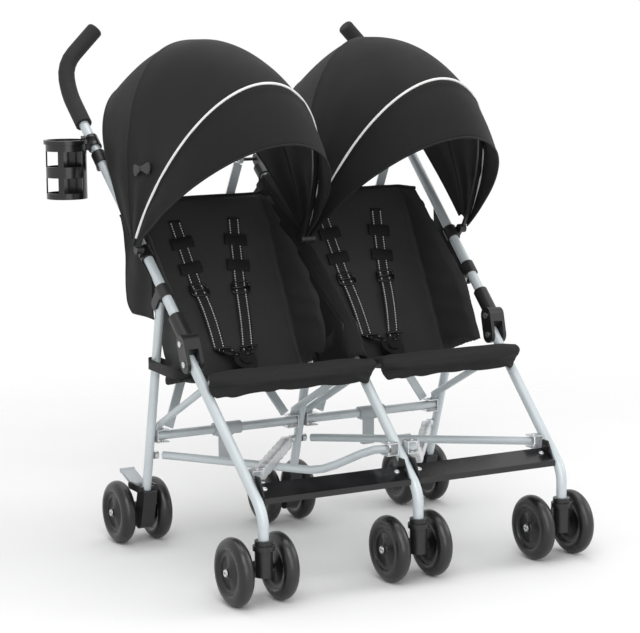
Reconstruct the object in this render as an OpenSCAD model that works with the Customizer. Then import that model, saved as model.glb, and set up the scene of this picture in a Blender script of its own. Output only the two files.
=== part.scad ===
// Side by side double stroller: three columns of tube, two sling seats, two canopies.
// Frame: millimetres, +Z up, the front faces -Y, the floor is z = 0, x = 0 is the middle column.

/* [Wheels] */
// outside diameter of every wheel
wheel_d = 127; // [100:0.5:160]
// width of one tyre
tyre_w = 31; // [22:0.5:38]
// radius of the rounded tyre shoulder
shoulder_r = 9; // [4:0.5:12]
// diameter of the recessed hub face
hub_face_d = 85; // [60:0.5:100]
// depth of the hub face below the tyre side
hub_recess = 6; // [2:0.5:10]
// diameter of the raised hub boss
hub_boss_d = 30; // [18:0.5:40]
// half the spacing of a front pair of wheels
front_pair = 45.7; // [36:0.1:55]
// half the spacing of a rear pair of wheels
rear_pair = 40; // [33:0.1:50]
// axle pin diameter
axle_d = 8; // [6:0.5:10]
// diameter of the screw head that keeps a wheel on
screw_head_d = 14; // [10:0.5:20]
// thickness of that screw head
screw_head_t = 3; // [2:0.5:5]

/* [Columns] */
// distance from the middle column to an outer front leg at its foot
col_x = 326; // [300:1:360]
// distance from the middle column to an outer rear foot
rear_x = 331; // [305:1:365]
// outward lean of the outer columns in degrees
splay_a = 3.15; // [0:0.05:5]
// diameter of the front legs and upper tubes
tube_d = 20; // [16:0.5:24]
// diameter of the rear legs
rear_d = 18; // [14:0.5:22]
// tube wall
wall_t = 1.4; // [1:0.1:2.5]

/* [Front legs] */
// y of the caster swivel axis
swivel_y = -277.8; // [-320:0.1:-240]
// lean of the front legs in degrees
leg_lean = 47.8; // [40:0.1:54]
// y of the elbow rivet
elbow_y = -18.9; // [-60:0.1:20]
// height of the elbow rivet
elbow_z = 409; // [380:0.5:440]
// bend radius at the foot of a front leg
bend_r = 60; // [40:1:90]
// height where the leg foot ends inside its caster
stub_z = 101; // [90:0.5:112]
// length of leg above the elbow rivet
leg_tail = 13; // [9:0.5:16]

/* [Upper tubes] */
// y of the upper elbow rivet
sleeve_y = -6.6; // [-20:0.1:10]
// height of the upper elbow rivet
sleeve_z = 447; // [435:0.5:470]
// lean of the outer upper tubes in degrees
upper_lean = 48.2; // [42:0.1:54]
// lean of the middle upper tube in degrees
middle_lean = 51.1; // [44:0.1:56]
// length of an outer upper tube above its rivet
upper_len = 626; // [610:1:640]
// length of the middle upper tube above its rivet
middle_len = 470; // [420:1:520]
// length of tube below the rivet
upper_tail = 12; // [8:0.5:16]
// half width of the elbow block
elbow_w = 17; // [14:0.5:22]
// corner radius of the elbow block
elbow_r = 17; // [14:0.5:22]
// length of the elbow sleeve up the tube
sleeve_len = 66; // [40:1:90]
// outside radius of sleeves and clips round the tube
sleeve_r = 14.5; // [13:0.25:18]
// diameter of the frame rivets
rivet_d = 7; // [5:0.5:9]
// diameter of a rivet head
rivet_head_d = 12; // [9:0.5:16]
// thickness of a rivet head
rivet_head_t = 2; // [1:0.5:4]

/* [Grips] */
// length of tube inside the foam grip
grip_from = 36; // [20:1:60]
// straight length of the grip before the bend
grip_straight = 60; // [20:1:80]
// length of grip round each of the two bends
grip_bend = 60; // [45:1:75]
// length of grip after the bend
grip_end = 65; // [50:1:100]
// inward share of the direction at the top of the grip
grip_in_share = 0.7; // [0.3:0.01:0.9]
// backward share of the direction between the two bends
grip_back_share = 0.33; // [0.1:0.01:0.6]
// grip radius
grip_r = 17; // [13:0.5:20]

/* [Rear legs] */
// y of the pivot at the top of the rear legs
pivot_y = 110; // [95:0.5:125]
// height of that pivot
pivot_z = 508; // [490:0.5:525]
// distance from the middle to an outer pivot
pivot_x = 346; // [330:0.5:370]
// y of the lower end of a rear leg
foot_y = 243; // [225:0.5:260]
// height of the lower end of a rear leg
foot_z = 50; // [40:0.5:60]
// y of the rear axles
rear_axle_y = 277.8; // [255:0.1:300]
// diameter of the pivot pin
pivot_d = 8; // [6:0.5:10]
// length of leg above the pivot
leg_top = 7; // [6:0.5:8]
// thickness of one ear of the pivot bracket
ear_t = 5; // [3:0.5:8]
// radius of the ear round the pin
ear_r = 11; // [9:0.5:14]
// half length of the clip band along the tube
band_half = 14; // [9:0.5:20]

/* [Casters] */
// trail of the front axle behind the swivel axis
trail = 28.3; // [15:0.1:40]
// outside radius of the caster stem
stem_r = 16.5; // [14:0.5:20]
// top of the caster stem
stem_top = 123; // [115:0.5:135]
// bottom of the caster stem
stem_low = 56; // [48:0.5:70]
// radius of the collar ring on the stem
collar_r = 20; // [17:0.5:24]
// height of the collar ring
collar_t = 9; // [5:0.5:14]
// half width of the arm that carries the axle
arm_half = 13; // [9:0.5:18]
// radius of the arm round the axle
arm_r = 15; // [12:0.5:20]

/* [Rear housings and brakes] */
// half width of a rear wheel housing
housing_half = 14; // [12:0.5:18]
// radius of the housing round the axle
housing_r = 17; // [14:0.5:22]
// y of the pedal hinge
pedal_y = 268; // [255:0.5:285]
// height of the pedal hinge
pedal_z = 118; // [108:0.5:130]
// length of a brake pedal
pedal_len = 60; // [40:1:80]
// half width of a brake pedal
pedal_half = 15; // [10:0.5:19]
// thickness of a brake pedal
pedal_t = 6; // [4:0.5:9]
// upward slope of the pedal in degrees
pedal_a = 18; // [0:1:40]
// diameter of the pedal pin
pedal_pin_d = 5; // [4:0.5:7]

/* [Cross bars and struts] */
// height of the rear cross bars
cross_z = 231; // [215:0.5:245]
// diameter of a cross bar
cross_d = 18; // [12:0.5:20]
// radius of the locking knuckle
knuckle_r = 13; // [10:0.5:16]
// half length of the locking knuckle
knuckle_half = 30; // [20:0.5:42]
// length of the grey release lever
lever_len = 58; // [35:1:70]
// half width of the release lever
lever_half = 13; // [8:0.5:18]
// thickness of the release lever
lever_t = 4; // [3:0.5:6]
// diameter of a seat strut
strut_d = 14; // [10:0.5:16]
// distance of a seat strut inside its column
strut_in = 18; // [17.5:0.5:24]
// height of the rear end of a seat strut
strut_low = 255; // [252:0.5:275]
// height where a strut meets its front leg
strut_high = 374; // [362:0.5:380]

/* [Floor braces] */
// diameter of a floor brace
brace_d = 16; // [10:0.5:16]
// y of the front brackets
brace_front_y = -212; // [-225:0.5:-195]
// y of the rear ends of the braces
brace_rear_y = 192; // [170:0.5:205]
// height of the front end of the straight brace
straight_front_z = 226; // [215:0.5:240]
// height of the rear end of the straight brace
straight_rear_z = 190; // [180:0.5:200]
// height of the front end of the bent brace
bent_front_z = 246; // [236:0.5:255]
// height of the rear end of the bent brace
bent_rear_z = 190; // [180:0.5:200]
// drop of the bent brace below the straight one where they cross
brace_drop = 18; // [16.5:0.5:24]
// distance of brace ends inside their columns
brace_in = 27; // [22:0.5:36]

/* [Back braces] */
// y of the upper pins of the back braces
hanger_y = 374; // [360:0.5:390]
// height of the upper pins of the back braces
hanger_z = 758; // [745:0.5:775]
// width of a flat back brace
flat_w = 18; // [14:0.5:24]
// thickness of a flat back brace
flat_t = 5; // [4:0.5:7]
// distance of brace ends inside their columns
flat_in = 40; // [32:0.5:46]
// half the spacing of two crossing braces
flat_gap = 4; // [3.2:0.1:7]
// pin diameter of the back braces
hanger_d = 7; // [5:0.5:9]

/* [Footrests] */
// y of the front edge of a footrest
rest_front = -268; // [-285:0.5:-255]
// depth of a footrest
rest_deep = 46; // [30:0.5:60]
// height of a footrest
rest_z = 193; // [180:0.5:205]
// thickness of the footrest sheet
rest_t = 3; // [2:0.5:5]
// height of the front lip
rest_lip = 8; // [5:0.5:14]
// how far the rear edge of a footrest stands above its front edge
rest_rise = 17; // [0:0.5:22]
// height of the ears that hold a footrest
rest_ear = 22; // [15:0.5:26]

/* [Seats] */
// half width of a seat at its front lip
lip_half = 164; // [150:0.5:172]
// y of the front of a seat
seat_front = -122; // [-140:0.5:-105]
// y of the back of a seat
seat_back = 131; // [120:0.5:140]
// height of the top of the front lip
lip_top = 404; // [395:0.5:415]
// height of the seat at the back
seat_low = 356; // [346:0.5:366]
// sag of the sling in the middle
seat_sag = 12; // [0:0.5:25]
// thickness of the seat pad
seat_t = 16; // [10:0.5:22]
// depth of the hanging front valance
valance = 34; // [24:0.5:40]
// lean of a backrest in degrees
back_lean = 27.5; // [20:0.5:34]
// length of a backrest
back_len = 384; // [340:1:400]
// half width of a backrest
back_half = 154; // [130:0.5:154]
// least distance that the sides of a backrest come forward
back_wing = 22; // [10:1:40]
// greatest distance that the sides of a backrest come forward
wing_most = 140; // [60:1:150]
// thickness of the sides of a backrest
wing_t = 7; // [4:0.5:7]
// thickness of a backrest
back_t = 14; // [8:0.5:20]
// depth of the stitched channels in the pads
channel = 3; // [0:0.5:6]

/* [Harness] */
// half the spacing of the shoulder straps at the top
strap_top = 66; // [45:0.5:80]
// half the spacing of the shoulder straps at the buckle
strap_low = 27; // [18:0.5:40]
// strap width
strap_w = 26; // [18:0.5:34]
// strap thickness
strap_t = 2; // [1.5:0.5:4]
// share of the backrest length where the straps come through
strap_share = 0.83; // [0.6:0.01:0.9]
// buckle radius
buckle_r = 24; // [18:0.5:30]
// buckle thickness
buckle_t = 15; // [10:0.5:20]
// y of the middle of the buckle's underside
buckle_y = 106; // [98:0.5:112]
// height of the middle of the buckle's underside
buckle_z = 371; // [368:0.5:380]
// tilt of the buckle's face from level in degrees
buckle_tilt = 35; // [20:1:50]
// release button radius
button_r = 11; // [8:0.5:14]
// travel of the release button
button_go = 3; // [2:0.25:4]

/* [Canopies] */
// y of the canopy hinge
hood_y = 154; // [145:0.5:162]
// height of the canopy hinge
hood_z = 610; // [595:0.5:625]
// middle of a canopy
hood_x = 192; // [189:0.5:196]
// half width of a canopy at its hinges
hood_half = 184; // [181:0.5:184]
// angle of the front bow forward of upright
bow_a = 32.7; // [20:0.1:45]
// angle of the visor edge forward of upright
visor_a = 54; // [44:0.1:62]
// angle of the rear edge behind upright
hem_a = 43; // [36:0.1:45]
// reach of the visor edge from the hinge
visor_r = 360; // [320:1:400]
// reach of the front bow from the hinge
bow_r = 380; // [340:1:420]
// reach of the rear edge from the hinge
hem_r = 432; // [390:1:460]
// thickness of the canopy cloth
cloth_t = 3; // [2:0.5:5]
// diameter of the bow
bow_d = 7; // [5:0.5:9]
// diameter of the canopy hinge pin
hood_pin_d = 6; // [4:0.5:8]
// radius of the bow boss round the pin
hood_boss_r = 9; // [7:0.5:12]

/* [Cup holder] */
// inside radius of the cup holder
cup_r = 38; // [34:0.25:42]
// wall of the cup holder
cup_t = 3; // [2:0.5:5]
// height of the cup holder
cup_h = 118; // [90:1:140]
// height of its rim
cup_top = 812; // [795:1:825]
// distance of the cup outside its tube
cup_out = 58; // [56:0.5:66]
// distance of the cup behind its clip
cup_y = -0.5; // [-8:0.5:8]
// width of the rim
cup_rim = 4; // [2:0.5:6]
// width of the open windows
cup_window = 40; // [14:0.5:44]
// height of the solid bands above and between the windows
cup_band = 22; // [12:0.5:28]

/* [Fits] */
// gap between parts that are fixed to each other
seat_gap = 0.25; // [0.15:0.05:0.4]
// gap on the radius of a running pin
run_gap = 0.06; // [0.02:0.01:0.1]
// side gap between parts that turn against each other
side_gap = 0.4; // [0.3:0.05:0.8]
// how far the ball at a bend stands proud of the bar
ball_proud = 0.25; // [0.2:0.05:0.5]

/* [Hidden] */
$fn = 48;
fine = 64;
tube_r = tube_d / 2;
rear_r = rear_d / 2;
wheel_r = wheel_d / 2;
axle_r = axle_d / 2;
rivet_r = rivet_d / 2;
rivet_head_r = rivet_head_d / 2;
cross_r = cross_d / 2;
strut_r = strut_d / 2;
brace_r = brace_d / 2;
pivot_r = pivot_d / 2;
hanger_r = hanger_d / 2;
bow_rod_r = bow_d / 2;
sides = [-1, 0, 1];
outer = [-1, 1];
leg_dir = [0, sin(leg_lean), cos(leg_lean)];
corner_z = elbow_z - (elbow_y - swivel_y) / tan(leg_lean);
tangent = bend_r * tan(leg_lean / 2);
bend_z = corner_z - tangent;
elbow_p = [0, elbow_y, elbow_z];
sleeve_p = [0, sleeve_y, sleeve_z];
leg_end = [0, swivel_y, corner_z] + tangent * leg_dir;
rear_top = [0, pivot_y, pivot_z];
front_axle_y = swivel_y + trail;
seat_half = col_at(1, seat_low) / 2 - strut_in - strut_r - side_gap;
lip_share = 0.12;
narrow_share = 0.04;
flat_share = 0.6;
dome_share = 0.35;
cup_turns = [30, 105, 180];
foot_lean_share = 0.42;
foot_share = 0.12;
arch_steps = 24;
ring_sides = 28;
bend_steps = 18;
low_shares = [0.34, 0.66];

function col_at(s, z) = s * (col_x + (z - bend_z) * tan(splay_a));
function up_dir(s) = s == 0 ? [0, sin(middle_lean), cos(middle_lean)]
  : [0, sin(upper_lean), cos(upper_lean)];
function tube_at(s, z) = sleeve_p + up_dir(s) * ((z - sleeve_z) / up_dir(s).z);
function rear_at(s, z) = [s * (rear_x + (pivot_x - rear_x) * (z - foot_z) / (pivot_z - foot_z)),
  foot_y + (pivot_y - foot_y) * (z - foot_z) / (pivot_z - foot_z), z];
function leg_at(s, z) = [col_at(s, z), elbow_y + (z - elbow_z) * tan(leg_lean), z];
function mix(a, b, t) = a + (b - a) * t;
function unit(v) = v / norm(v);

// a round bar between two points
module rod(p, q, r) {
  v = q - p;
  translate(p)
    rotate([0, acos(v.z / norm(v)), atan2(v.y, v.x)])
      cylinder(h = norm(v), r = r);
}

// direction of a path at one of its points
function path_dir(path, i) = unit((i < len(path) - 1 ? unit(path[i + 1] - path[i]) : [0, 0, 0])
  + (i > 0 ? unit(path[i] - path[i - 1]) : [0, 0, 0]));

// a bent bar: rings of points along a path, with a radius for each
module bent_bar(path, radii, ref) {
  m = ring_sides;
  last = len(path) - 1;
  rings = [for (i = [0:last]) let(d = path_dir(path, i), a = unit(cross(ref, d)), b = cross(d, a))
    [for (k = [0:m - 1]) path[i] + radii[i] * (a * cos(360 * k / m) + b * sin(360 * k / m))]];
  walls = [for (i = [0:last - 1]) for (k = [0:m - 1])
    [i * m + k, (i + 1) * m + k, (i + 1) * m + (k + 1) % m, i * m + (k + 1) % m]];
  first_cap = [for (k = [0:m - 1]) k];
  last_cap = [for (k = [m - 1:-1:0]) last * m + k];
  polyhedron(points = [for (r = rings) for (p = r) p], faces = concat([first_cap, last_cap], walls));
}

// a round bar along x
module pin_x(x0, x1, y, z, r) {
  translate([x0, y, z])
    rotate([0, 90, 0])
      cylinder(h = x1 - x0, r = r);
}

// a flat side profile in y and z, given thickness along x
module plate_x(x0, x1) {
  translate([x0, 0, 0])
    rotate([90, 0, 90])
      linear_extrude(height = x1 - x0)
        children();
}

// a box from one corner to the other
module block(p, q) {
  translate(p)
    cube(q - p);
}

// places side parts into the outward lean of an outer column
module column(s) {
  translate([s * col_x, swivel_y, bend_z])
    rotate([0, s * splay_a, 0])
      translate([0, -swivel_y, -bend_z])
        children();
}

// a flat web between two points of a side profile
module web(a, b, half) {
  d = b - a;
  n = [-d.y, d.x] / norm(d) * half;
  polygon([a + n, a - n, b - n, b + n]);
}

// a closed skin over two matching grids of points
module grid_solid(top, bottom) {
  nu = len(top);
  nv = len(top[0]);
  n = nu * nv;
  pts = [for (g = [top, bottom]) for (row = g) for (p = row) p];
  up = [for (i = [0:nu - 2]) for (j = [0:nv - 2])
    [i * nv + j, i * nv + j + 1, (i + 1) * nv + j + 1, (i + 1) * nv + j]];
  down = [for (f = up) [f[3] + n, f[2] + n, f[1] + n, f[0] + n]];
  ends_u = [for (j = [0:nv - 2]) for (i = [0, nu - 1]) i == 0
    ? [j + 1, j, j + n, j + 1 + n]
    : [i * nv + j, i * nv + j + 1, i * nv + j + 1 + n, i * nv + j + n]];
  ends_v = [for (i = [0:nu - 2]) for (j = [0, nv - 1]) j == 0
    ? [i * nv, (i + 1) * nv, (i + 1) * nv + n, i * nv + n]
    : [(i + 1) * nv + j, i * nv + j, i * nv + j + n, (i + 1) * nv + j + n]];
  polyhedron(points = pts, faces = concat(up, down, ends_u, ends_v));
}

module wheel(x, y) {
  inner = hub_face_d / 2;
  boss = hub_boss_d / 2;
  half = tyre_w / 2;
  bore = axle_r + run_gap;
  translate([x, y, wheel_r])
    rotate([0, 90, 0])
      rotate_extrude($fn = fine) {
        translate([bore, -half + hub_recess])
          square([wheel_r - shoulder_r - bore, tyre_w - 2 * hub_recess]);
        translate([bore, -half])
          square([boss - bore, tyre_w]);
        translate([inner, -half])
          square([wheel_r - shoulder_r - inner, tyre_w]);
        translate([wheel_r - 2 * shoulder_r, -half + shoulder_r])
          square([2 * shoulder_r, tyre_w - 2 * shoulder_r]);
        for (k = outer)
          translate([wheel_r - shoulder_r, k * (half - shoulder_r)])
            circle(r = shoulder_r);
      }
}

// axle with a screw head at each end
module axle(x, y, pair) {
  reach = pair + tyre_w / 2 + side_gap;
  pin_x(x - reach, x + reach, y, wheel_r, axle_r);
  pin_x(x - reach - screw_head_t, x - reach, y, wheel_r, screw_head_d / 2);
  pin_x(x + reach, x + reach + screw_head_t, y, wheel_r, screw_head_d / 2);
}

module front_leg(s) {
  color("silver")
    difference() {
      union() {
        column(s) {
          rod(leg_end - leg_dir * wall_t, elbow_p + leg_dir * leg_tail, tube_r);
          translate([0, swivel_y + bend_r, bend_z])
            rotate([90, 0, -90])
              rotate_extrude(angle = leg_lean)
                translate([bend_r, 0])
                  circle(r = tube_r + ball_proud);
        }
        translate([s * col_x, swivel_y, stub_z])
          cylinder(h = bend_z + wall_t - stub_z, r = tube_r);
      }
      column(s) {
        rod(leg_end + leg_dir * tube_d, elbow_p + leg_dir * (leg_tail + wall_t), tube_r - wall_t);
        pin_x(-tube_d, tube_d, elbow_y, elbow_z, rivet_r + seat_gap);
      }
    }
}

module upper_tube(s) {
  long = s == 0 ? middle_len : upper_len;
  d = up_dir(s);
  color("silver")
    column(s)
      difference() {
        rod(sleeve_p - d * upper_tail, sleeve_p + d * long, tube_r);
        rod(sleeve_p - d * tube_d, sleeve_p + d * (long + wall_t), tube_r - wall_t);
        pin_x(-tube_d, tube_d, sleeve_y, sleeve_z, rivet_r + seat_gap);
      }
}

module elbow(s) {
  d = up_dir(s);
  a = [elbow_y, elbow_z];
  b = [sleeve_y, sleeve_z];
  slot = tube_r + seat_gap;
  fork = [leg_dir.y, leg_dir.z];
  column(s) {
    difference() {
      union() {
        plate_x(-elbow_w, elbow_w) {
          translate(a)
            circle(r = elbow_r);
          translate(b)
            circle(r = elbow_r);
          web(a, b, elbow_r);
        }
        rod(sleeve_p, sleeve_p + d * sleeve_len, sleeve_r);
      }
      rod(sleeve_p - d * (upper_tail + seat_gap), sleeve_p + d * upper_len, tube_r + seat_gap);
      plate_x(-slot, slot)
        web(a - fork * elbow_r * 2, a + fork * (leg_tail + seat_gap), elbow_r * 2);
      pin_x(-elbow_w - seat_gap, elbow_w + seat_gap, elbow_y, elbow_z, rivet_r + seat_gap);
      pin_x(-elbow_w - seat_gap, elbow_w + seat_gap, sleeve_y, sleeve_z, rivet_r + seat_gap);
    }
  }
}

module elbow_joints() {
  color("black")
    for (s = sides)
      elbow(s);
}

// band round the upper tube with two ears for the top of the rear leg
module leg_pivot(s) {
  d = up_dir(s);
  t = d * ((rear_top - sleeve_p) * d);
  c = sleeve_p + t;
  px = s * pivot_x;
  ear_in = rear_r + side_gap;
  difference() {
    union() {
      column(s)
        rod(c - d * band_half, c + d * band_half, sleeve_r - side_gap * 2);
      for (k = outer)
        plate_x(px + (k > 0 ? ear_in : -ear_in - ear_t), px + (k > 0 ? ear_in + ear_t : -ear_in)) {
          translate([pivot_y, pivot_z])
            circle(r = ear_r);
          web([pivot_y, pivot_z], [c.y, c.z], ear_r);
        }
    }
    column(s)
      rod(c - d * tube_d * 2, c + d * tube_d * 2, tube_r + seat_gap);
  }
  pin_x(px - ear_in - ear_t, px + ear_in + ear_t, pivot_y, pivot_z, pivot_r);
}

// band round the tube with an ear and a pin for the canopy
module canopy_clip(s) {
  d = up_dir(s);
  t = d * (([0, hood_y, hood_z] - sleeve_p) * d);
  c = sleeve_p + t;
  ear_half = s == 0 ? hood_x - hood_half - side_gap * 3 : ear_t / 2 + side_gap;
  base = s * (hood_x + hood_half - bow_d - side_gap * 3 - ear_half);
  reach = ear_half + bow_d + side_gap * 5;
  difference() {
    union() {
      column(s)
        rod(c - d * band_half, c + d * band_half, sleeve_r - side_gap);
      plate_x(base - ear_half, base + ear_half) {
        translate([hood_y, hood_z])
          circle(r = hood_boss_r);
        web([hood_y, hood_z], [c.y, c.z], hood_boss_r);
      }
    }
    column(s)
      rod(c - d * tube_d * 2, c + d * tube_d * 2, tube_r + seat_gap);
  }
  pin_x(s > 0 ? base : base - reach, s < 0 ? base : base + reach, hood_y, hood_z, hood_pin_d / 2);
}

module tube_clips() {
  color("black")
    for (s = sides) {
      leg_pivot(s);
      canopy_clip(s);
    }
}

// band round the tube with the upper pin of the back braces
module brace_hanger(s) {
  d = up_dir(s);
  t = d * (([0, hanger_y, hanger_z] - sleeve_p) * d);
  c = sleeve_p + (s == 0 ? d * (middle_len - band_half) : t);
  inside = col_at(1, hanger_z) - flat_in;
  x0 = s == 0 ? -flat_in - flat_t : s * col_at(1, hanger_z);
  x1 = s == 0 ? flat_in + flat_t : s * (inside - flat_t);
  half = s == 0 ? ear_t : ear_t / 2;
  mid = s == 0 ? 0 : s * (col_at(1, hanger_z) - half);
  difference() {
    union() {
      column(s)
        rod(c - d * band_half, c + d * band_half, sleeve_r);
      plate_x(mid - half, mid + half) {
        translate([hanger_y, hanger_z])
          circle(r = ear_r);
        web([hanger_y, hanger_z], [c.y, c.z], ear_r);
      }
    }
    column(s)
      rod(c - d * tube_d * 2, c + d * (s == 0 ? band_half + seat_gap : tube_d * 2), tube_r + seat_gap);
  }
  pin_x(min(x0, x1), max(x0, x1), hanger_y, hanger_z, hanger_r);
}

module brace_hangers() {
  color("dimgray")
    for (s = sides)
      brace_hanger(s);
}

// direction along a grip: up the tube, then upright, then inward
function grip_dir(s, t) = t < 1
  ? unit(mix([s * sin(splay_a), sin(upper_lean), cos(upper_lean)], grip_rise(), t))
  : unit(mix(grip_rise(), [-s * grip_in_share, 0, sqrt(1 - grip_in_share * grip_in_share)], t - 1));
function grip_rise() = [0, grip_back_share, sqrt(1 - grip_back_share * grip_back_share)];
function grip_walk(s, p, k, n) = k == n ? [p]
  : concat([p], grip_walk(s, p + grip_dir(s, (2 * k + 1) / n) * (2 * grip_bend / n), k + 1, n));
function lean_out(s, p) = [s * (col_x + (p.z - bend_z) * sin(splay_a)), p.y,
  bend_z + (p.z - bend_z) * cos(splay_a)];

module grip(s) {
  steps = 8;
  d = up_dir(s);
  p0 = lean_out(s, sleeve_p + d * (upper_len - grip_from));
  p1 = lean_out(s, sleeve_p + d * (upper_len - grip_from + grip_straight));
  path = grip_walk(s, p1, 0, steps);
  last = path[steps];
  tip = last + grip_dir(s, 2) * grip_end;
  dome = [for (a = [30, 60, 85]) tip + grip_dir(s, 2) * grip_r * dome_share * sin(a)];
  radii = [for (i = [0:steps + 5]) i < steps + 3 ? grip_r
    : grip_r * (1 - dome_share + dome_share * cos([30, 60, 85][i - steps - 3]))];
  color("black")
    difference() {
      bent_bar(concat([p0], path, [tip], dome), radii, [0, 1, 0]);
      column(s)
        rod(sleeve_p + d * sleeve_len, sleeve_p + d * (upper_len + seat_gap), tube_r + seat_gap);
    }
}

module cup_holder() {
  s = -1;
  d = up_dir(s);
  z0 = cup_top - cup_h;
  cx = col_at(s, cup_top) - cup_out;
  ring = tube_at(s, cup_top - cup_rim * 2);
  cy = ring.y + cup_y;
  tier = (cup_h - cup_rim * 3 - cup_band * 2) / 2;
  color("black") {
    difference() {
      union() {
        translate([cx, cy, z0])
          cylinder(h = cup_h, r = cup_r + cup_t, $fn = fine);
        translate([cx, cy, cup_top - cup_rim * 2])
          cylinder(h = cup_rim * 2, r = cup_r + cup_t + cup_rim, $fn = fine);
        column(s)
          rod(ring - d * band_half, ring + d * band_half, sleeve_r);
        block([cx + cup_r, ring.y - band_half, ring.z - band_half],
          [col_at(s, ring.z), ring.y + band_half, ring.z + band_half]);
      }
      translate([cx, cy, z0 + cup_t])
        cylinder(h = cup_h, r = cup_r, $fn = fine);
      column(s)
        rod(ring - d * tube_d * 3, ring + d * tube_d * 3, tube_r + seat_gap);
      for (a = cup_turns)
        for (z = [z0 + cup_rim * 3, z0 + cup_rim * 3 + tier + cup_band])
          translate([cx, cy, z])
            rotate([0, 0, a])
              translate([-cup_window / 2, 0, 0])
                cube([cup_window, cup_out, tier]);
    }
  }
}

// height of the footrest sheet at a given y
function rest_at(y) = rest_z + rest_rise * (y - rest_front) / rest_deep;

// a tilted tray between two front legs with an ear at each end
module footrest(s) {
  x0 = tube_r + seat_gap;
  x1 = col_at(1, rest_z - rest_lip) - tube_r - ball_proud - seat_gap;
  lo = s > 0 ? x0 : -x1;
  hi = s > 0 ? x1 : -x0;
  back = rest_front + rest_deep;
  in = back - rest_t;
  color("black") {
    plate_x(lo, hi)
      polygon([[rest_front, rest_z - rest_lip], [rest_front + rest_t, rest_z - rest_lip],
        [rest_front + rest_t, rest_at(rest_front + rest_t)], [back, rest_at(back)],
        [back, rest_at(back) + rest_t], [rest_front, rest_z + rest_t]]);
    for (x = [lo, hi - rest_t])
      plate_x(x, x + rest_t)
        polygon([[rest_front + rest_t, rest_at(rest_front + rest_t)], [in, rest_at(in)],
          [in - rest_t, rest_at(in) + rest_ear], [back - rest_deep / 2, rest_at(in) + rest_ear]]);
  }
}

function brace_x(s, z) = s == 0 ? brace_in : abs(col_at(1, z)) - brace_in;

// ends of the straight brace, and route of the bent one, which dips under it
function straight_path(k) = [[k * brace_x(1, straight_front_z), brace_front_y, straight_front_z],
  [k * brace_x(0, straight_rear_z), brace_rear_y, straight_rear_z]];
function bent_ends(k) = [[k * (rear_at(1, bent_rear_z).x - brace_in), brace_rear_y, bent_rear_z],
  [k * brace_x(0, bent_front_z), brace_front_y, bent_front_z]];
function ease(t) = let(c = max(0, min(1, t))) c * c * (3 - 2 * c);
function bent_z(u) = let(low = (straight_front_z + straight_rear_z) / 2 - brace_drop)
  low + (bent_rear_z - low) * (1 - ease(u / low_shares[0]))
    + (bent_front_z - low) * ease((u - low_shares[1]) / (1 - low_shares[1]));
function bent_path(k) = let(e = bent_ends(k)) [for (i = [0:bend_steps])
  [mix(e[0].x, e[1].x, i / bend_steps), mix(e[0].y, e[1].y, i / bend_steps), bent_z(i / bend_steps)]];

// one straight and one bent brace under each seat
module floor_braces() {
  color("silver")
    for (k = outer) {
      rod(straight_path(k)[0], straight_path(k)[1], brace_r);
      bent_bar(bent_path(k), [for (i = [0:bend_steps]) brace_r], [0, 0, 1]);
    }
}

// side bars under the seats, two to a seat
module seat_struts() {
  front_y = leg_at(1, strut_high).y;
  rear_y = rear_at(1, strut_low).y;
  xo = col_at(1, strut_high) - strut_in;
  xr = rear_at(1, strut_low).x - strut_in;
  color("silver")
    for (k = outer) {
      rod([k * xo, front_y, strut_high], [k * xr, rear_y, strut_low], strut_r);
      rod([k * strut_in, front_y, strut_high], [k * strut_in, rear_y, strut_low], strut_r);
    }
}

// a U bracket with an upright bolt, opening along x from a leg
module u_bracket(x, y, z, k, deep, half, free) {
  t = rivet_head_t;
  x1 = x + k * deep;
  lo = min(x, x1);
  hi = max(x, x1);
  block([k > 0 ? x : x - t, y - half, z - half], [k > 0 ? x + t : x, y + half, z + half]);
  for (m = outer)
    block([lo, y - half, z + (m > 0 ? half - t : -half)], [hi, y + half, z + (m > 0 ? half : t - half)]);
  for (m = outer)
    translate([x1 - k * half * 0.8, y, z + (m > 0 ? free : -half - t)])
      cylinder(h = half + t - free, r = rivet_r);
}

// zinc brackets on the front legs, the rivets of the elbows and the strut pins
module brackets() {
  half = brace_r + rivet_head_t * 2 + seat_gap;
  free = brace_r + seat_gap * 3;
  strut_y = leg_at(1, strut_high).y;
  color("lightgray") {
    for (k = outer) {
      ox = col_at(1, straight_front_z - half) - tube_r - seat_gap;
      u_bracket(k * ox, brace_front_y, straight_front_z, -k, brace_in - tube_r + brace_r, half, free);
      u_bracket(k * (tube_r + seat_gap), brace_front_y, bent_front_z, k,
        brace_in - tube_r + brace_r, half, free);
      so = col_at(1, strut_high);
      pin_x(k > 0 ? so - strut_in + strut_r + seat_gap : -so + tube_r + seat_gap,
        k > 0 ? so - tube_r - seat_gap : -so + strut_in - strut_r - seat_gap, strut_y, strut_high, rivet_r);
      pin_x(k > 0 ? tube_r + seat_gap : -strut_in + strut_r + seat_gap,
        k > 0 ? strut_in - strut_r - seat_gap : -tube_r - seat_gap, strut_y, strut_high, rivet_r);
    }
    for (s = sides)
      column(s)
        for (p = [elbow_p, sleeve_p]) {
          pin_x(-elbow_w - side_gap, elbow_w + side_gap, p.y, p.z, rivet_r);
          for (k = outer)
            pin_x(k > 0 ? elbow_w + side_gap : -elbow_w - side_gap - rivet_head_t,
              k > 0 ? elbow_w + side_gap + rivet_head_t : -elbow_w - side_gap, p.y, p.z, rivet_head_r);
        }
  }
}

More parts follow.
